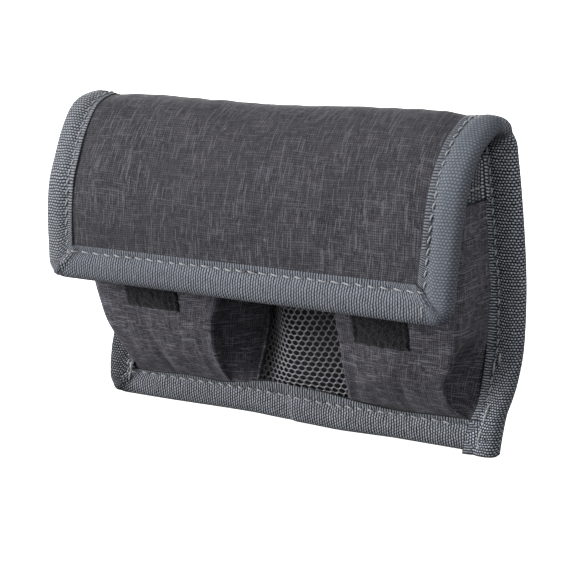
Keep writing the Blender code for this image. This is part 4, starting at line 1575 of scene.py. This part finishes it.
@dataclass(frozen=True)
class OpenNet:
    """The knitted net between the pockets: round holes in staggered rows.

    Tables are (height, distance) rows in millimetres, and the bulge is steep beside the left
    pocket and slack towards the right one.
    """

    sheet: Laminate
    left: tuple = (
        (8.0, -10.9), (12.0, -10.3), (19.5, -8.3), (25.0, -7.1), (33.0, -5.8), (45.0, -4.2), (66.0, -1.2),
    )
    right: tuple = ((8.0, 19.0), (12.0, 18.8), (30.0, 17.4), (66.0, 13.2))
    bulge: tuple = (
        (8.0, 0.0), (10.8, 0.2), (12.0, 1.7), (13.4, 2.9), (20.0, 5.7), (27.0, 7.8), (35.0, 10.0),
        (45.0, 11.0), (66.0, 9.5),
    )
    section: tuple = (
        (0.0, 0.02), (0.1, 0.2), (0.2, 0.48), (0.3, 0.76), (0.4, 0.95), (0.5, 1.0), (0.72, 0.82),
        (1.0, 0.35),
    )
    low: float = 8.4
    top: float = 66.0
    foot: float = 1.9
    pitch_across: float = 2.0
    pitch_up: float = 1.58
    hole: float = 0.84
    columns: int = 14
    border_share: float = 0.43
    circle_share: float = 0.5
    strand_sink: tuple = (0.0, 0.14, 0.2)
    usual_width: float = 24.0
    usual_depth: float = 8.0

    def place(self, share: Array, z: Array) -> Array:
        """Points of the net at shares of the way round its section and at heights in millimetres."""
        fine = np.linspace(0.0, 1.0, 400)
        steps = np.hypot(
            np.diff(fine) * self.usual_width, np.diff(through(self.section, fine)) * self.usual_depth
        )
        across = np.interp(share, np.concatenate([[0.0], np.cumsum(steps)]) / steps.sum(), fine)
        left, right = through(self.left, z), through(self.right, z)
        y = -self.foot - through(self.bulge, z) * through(self.section, across)
        x = left + (right - left) * across
        return stacked(x * MM, self.sheet.middle_y + y * MM, z * MM)

    def build(self) -> bpy.types.Object:
        """The net: each cell is a ring of faces from its six-sided border to its round hole.

        Returns:
            The net's object.
        """
        rows = round((self.top - self.low) / self.pitch_up)
        row, column = np.mgrid[0:rows, 0 : self.columns + 1]
        centre = np.stack([(column + 0.5 * (row % 2)).reshape(-1), (row + 0.5).reshape(-1)], axis=1)
        tip = (self.pitch_across**2 / 4 + self.pitch_up**2) / (2 * self.pitch_up**2)
        corner = np.array(
            [(0.0, tip), (0.5, 1 - tip), (0.5, tip - 1), (0.0, -tip), (-0.5, tip - 1), (-0.5, 1 - tip)]
        )
        border = np.stack([corner, (corner + np.roll(corner, -1, axis=0)) / 2], axis=1).reshape(-1, 2)
        turn = np.arctan2(border[:, 1] * self.pitch_up, border[:, 0] * self.pitch_across)
        circle = stacked(np.cos(turn) / self.pitch_across, np.sin(turn) / self.pitch_up) * self.hole
        rim = border * self.border_share + circle * self.circle_share
        rings = np.stack([border, (border + rim) / 2, rim])
        spots = centre[:, None, None] + rings[None]
        share = np.clip(spots[..., 0] / self.columns, 0.0, 1.0)
        points = self.place(share, self.low + spots[..., 1] * self.pitch_up)
        points[..., 1] -= np.array(self.strand_sink)[None, :, None] * MM
        index = np.arange(points[..., 0].size).reshape(points.shape[:3])
        after = np.roll(index, -1, axis=2)
        faces = np.stack([index[:, :-1], index[:, 1:], after[:, 1:], after[:, :-1]], axis=-1).reshape(-1, 4)
        ring = np.broadcast_to(np.array([0.0, 0.5, 1.0])[None, :, None], index.shape).reshape(-1)
        kept, first, back = np.unique(
            np.round(points.reshape(-1, 3) / MM, 3), axis=0, return_index=True, return_inverse=True
        )
        faces = back.reshape(-1)[faces]
        real = (np.diff(np.sort(faces, axis=1), axis=1) > 0).all(axis=1)
        cloth = np.stack([kept[:, 2], ring[first]], axis=1)
        return thicken(quad_piece("open_net", kept * MM, faces[real], cloth), 0.3 * MM)

    def hem(self) -> bpy.types.Object:
        """Tape along the net's upper edge.

        Returns:
            The hem's object.
        """
        share = np.linspace(0.0, 1.0, 60)[None, :]
        rise = np.linspace(0.0, 6.0, 9)[:, None]
        points = self.place(share, np.full((9, 1), self.top))
        points[..., 2] += (rise + 0.3) * MM
        cloth = stacked(share * 30.0, rise)
        return thicken(cloth_piece("net_hem_tape", points, cloth), 1.1 * MM)


@dataclass(frozen=True)
class Lamp:
    """One square area light: its place and side in metres, and its power in watts."""

    name: str
    place: tuple
    size: float
    power: float


@dataclass(frozen=True)
class Studio:
    """Camera, floor and soft lights.

    The floor glows to the camera alone, as a lit table does, and gives little light back.
    """

    azimuth: float = 29.0
    elevation: float = 15.0
    roll: float = -0.66
    distance: float = 468.0 * MM
    focal_pixels: float = 1760.0
    image_pixels: float = 576.0
    target: tuple = (9.3 * MM, -5.45 * MM, 45.1 * MM)
    bounce: Colour = (100, 100, 100)
    glow: float = 1.0
    lamps: tuple = (
        Lamp("key", (-2.45, -1.92, 0.98), 2.0, 144.0),
        Lamp("top", (0.0, -1.0, 3.8), 2.2, 8.0),
        Lamp("fill", (2.2, -1.2, 2.6), 1.6, 42.0),
        Lamp("behind", (-0.8, 1.2, 0.35), 0.6, 14.0),
    )
    surround: float = 0.2
    backdrop_from: float = 1.2
    backdrop_rise: float = 0.8

    def camera(self) -> None:
        """The camera: it looks back along (sin a cos e, -cos a cos e, sin e) at the target."""
        a, e, roll = radians(self.azimuth), radians(self.elevation), radians(self.roll)
        back = np.array([sin(a) * cos(e), -cos(a) * cos(e), sin(e)])
        right = np.array([cos(a), sin(a), 0.0])
        up = np.cross(back, right)
        right, up = cos(roll) * right + sin(roll) * up, cos(roll) * up - sin(roll) * right
        place = np.array(self.target) + self.distance * back
        data = bpy.data.cameras.new("photo_camera")
        data.sensor_width = 36.0
        data.lens = self.focal_pixels / self.image_pixels * data.sensor_width
        data.clip_start, data.clip_end = 0.01, 20.0
        camera = bpy.data.objects.new("photo_camera", data)
        frame_axes = np.column_stack([right, up, back, place])
        camera.matrix_world = Matrix(np.vstack([frame_axes, [0.0, 0.0, 0.0, 1.0]]).tolist())
        bpy.context.scene.collection.objects.link(camera)
        bpy.context.scene.camera = camera

    def floor(self) -> None:
        """A pale floor that curves up into a backdrop behind the pouch."""
        across = np.linspace(-3.0, 3.0, 25)[None, :]
        along = np.linspace(-3.0, 3.0, 61)[:, None]
        rise = np.clip(along - self.backdrop_from, 0.0, None) ** 2 * self.backdrop_rise
        points = stacked(across, along, rise)
        points = points + np.array([0.0, 0.0, -0.02 * MM])
        cloth = stacked(across, along)
        floor = cloth_piece("studio_floor", points, cloth)
        made = bpy.data.materials.new("studio_paper")
        made.use_nodes = True
        sketch = NodeSketch(made.node_tree)
        shader = made.node_tree.nodes["Principled BSDF"]
        place = sketch.add("ShaderNodeTexCoord").outputs["Object"]
        grain = sketch.noise(place, 40.0, 3.0)
        seen = sketch.add("ShaderNodeLightPath").outputs["Is Camera Ray"]
        paper = sketch.blend(grain, rgba((247, 247, 247)), rgba((251, 251, 251)))
        sketch.feed(shader.inputs["Base Color"], sketch.blend(seen, rgba(self.bounce), paper))
        shader.inputs["Emission Color"].default_value = (1.0, 1.0, 1.0, 1.0)
        sketch.feed(shader.inputs["Emission Strength"], sketch.times(seen, self.glow))
        shader.inputs["Roughness"].default_value = 0.9
        floor.data.materials.append(made)

    def light(self, lamp: Lamp) -> None:
        """Adds one light, turned to face the pouch."""
        data = bpy.data.lights.new(lamp.name, "AREA")
        data.shape = "SQUARE"
        data.size = lamp.size
        data.energy = lamp.power
        holder = bpy.data.objects.new(lamp.name, data)
        back = np.array(lamp.place) - np.array(self.target)
        back /= np.linalg.norm(back)
        right = np.cross([0.0, 0.0, 1.0], back)
        right /= np.linalg.norm(right)
        axes = np.column_stack([right, np.cross(back, right), back, lamp.place])
        holder.matrix_world = Matrix(np.vstack([axes, [0.0, 0.0, 0.0, 1.0]]).tolist())
        bpy.context.scene.collection.objects.link(holder)

    def build(self) -> None:
        """Sets up the camera, floor, lights and a pale surrounding."""
        self.camera()
        self.floor()
        for lamp in self.lamps:
            self.light(lamp)
        world = bpy.data.worlds.new("studio")
        world.use_nodes = True
        world.node_tree.nodes["Background"].inputs["Color"].default_value = (1.0, 1.0, 1.0, 1.0)
        sketch = NodeSketch(world.node_tree)
        seen = sketch.add("ShaderNodeLightPath").outputs["Is Camera Ray"]
        strength = sketch.ramp(seen, 0.0, 1.0, self.surround, 1.0)
        sketch.feed(world.node_tree.nodes["Background"].inputs["Strength"], strength)
        bpy.context.scene.world = world
        bpy.context.scene.view_settings.view_transform = "Standard"


class Pouch:
    """Builds and dresses every piece, and hangs the pockets' and the net's pieces on their bodies."""

    def __init__(self) -> None:
        """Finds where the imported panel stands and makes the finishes."""
        low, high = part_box("bottom_binding")
        self.sheet = Laminate(middle_y=(low.y + high.y) / 2)
        self.cloths = Cloths()

    def bend(self, piece: bpy.types.Object) -> bpy.types.Object:
        """Bakes a piece's transform into its mesh."""
        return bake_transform(piece)

    def ride(self, piece: bpy.types.Object, body: Body) -> bpy.types.Object:
        """Hangs a piece on one body."""
        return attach(piece, body.value)

    def report(self, piece: bpy.types.Object) -> None:
        """Logs a finished piece."""
        LOG.info("%s: %d faces", piece.name, len(piece.data.polygons))

    def panel(self) -> None:
        """Outer cloth, padding and inner cloth."""
        parts = PaddedPanel(self.sheet)
        outer = parts.layer("outer_cloth", parts.outer_height, 1.0, parts.cloth_inset, 40)
        self.cloths.dress(outer, "flap_heather")
        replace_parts(self.bend(outer), "back_cover", "flap_cover")
        inner = parts.layer("inner_cloth", parts.inner_height, -1.0, parts.cloth_inset, 50)
        self.cloths.dress(inner, "lining")
        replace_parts(self.bend(inner), "back_lining", "flap_lining")
        padding = self.cloths.dress(parts.padding(), "foam")
        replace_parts(self.bend(padding), "back_foam", "flap_foam")
        for piece in (outer, inner, padding):
            self.report(piece)

    def edges(self) -> None:
        """The tape round every edge and its stitches."""
        tape = EdgeTape(Outline(self.sheet))
        band = self.cloths.dress(tape.build(), "tape")
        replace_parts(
            self.bend(band), "side_binding_left", "side_binding_right", "bottom_binding", "flap_binding"
        )
        stitches = self.cloths.dress(tape.stitches(), "thread")
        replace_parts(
            self.bend(stitches), "side_thread_left", "side_thread_right", "bottom_thread", "flap_thread"
        )
        self.report(band)
        self.report(stitches)

    def pockets(self) -> None:
        """Both pockets with their hems and patches."""
        for side, shape in ((Side.LEFT, LEFT_POCKET), (Side.RIGHT, RIGHT_POCKET)):
            pocket = Pocket(self.sheet, side, shape)
            cloth = self.cloths.dress(pocket.cloth(), "lit_pocket_heather")
            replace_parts(self.ride(cloth, Body.POUCH), f"pocket_{side.value}")
            hem = self.cloths.dress(pocket.hem(), "hem")
            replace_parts(self.ride(hem, Body.POUCH), f"pocket_hem_{side.value}")
            seam = self.ride(self.cloths.dress(pocket.hem_seam(), "thread"), Body.POUCH)
            loop = self.cloths.dress(pocket.loop_patch(), "pile")
            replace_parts(self.ride(loop, Body.POUCH), f"loop_patch_{side.value}")
            hook = self.cloths.dress(HookPatches(self.sheet).build(side), "pile")
            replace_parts(self.ride(hook, Body.FLAP), f"hook_patch_{side.value}")
            for piece in (cloth, hem, seam, loop, hook):
                self.report(piece)

    def net(self) -> None:
        """The open net and its hem."""
        net = OpenNet(self.sheet)
        mesh = self.cloths.dress(net.build(), "net")
        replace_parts(self.ride(mesh, Body.POUCH), "mesh_panel")
        hem = self.cloths.dress(net.hem(), "tape")
        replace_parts(self.ride(hem, Body.POUCH), "mesh_hem")
        self.report(mesh)
        self.report(hem)

    def build(self) -> None:
        """Builds everything, in order."""
        self.panel()
        self.edges()
        self.pockets()
        self.net()


def main() -> None:
    logging.basicConfig(level=logging.INFO, format="%(name)s: %(message)s")
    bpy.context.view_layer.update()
    Studio().build()
    Pouch().build()


if __name__ == "__main__":
    main()
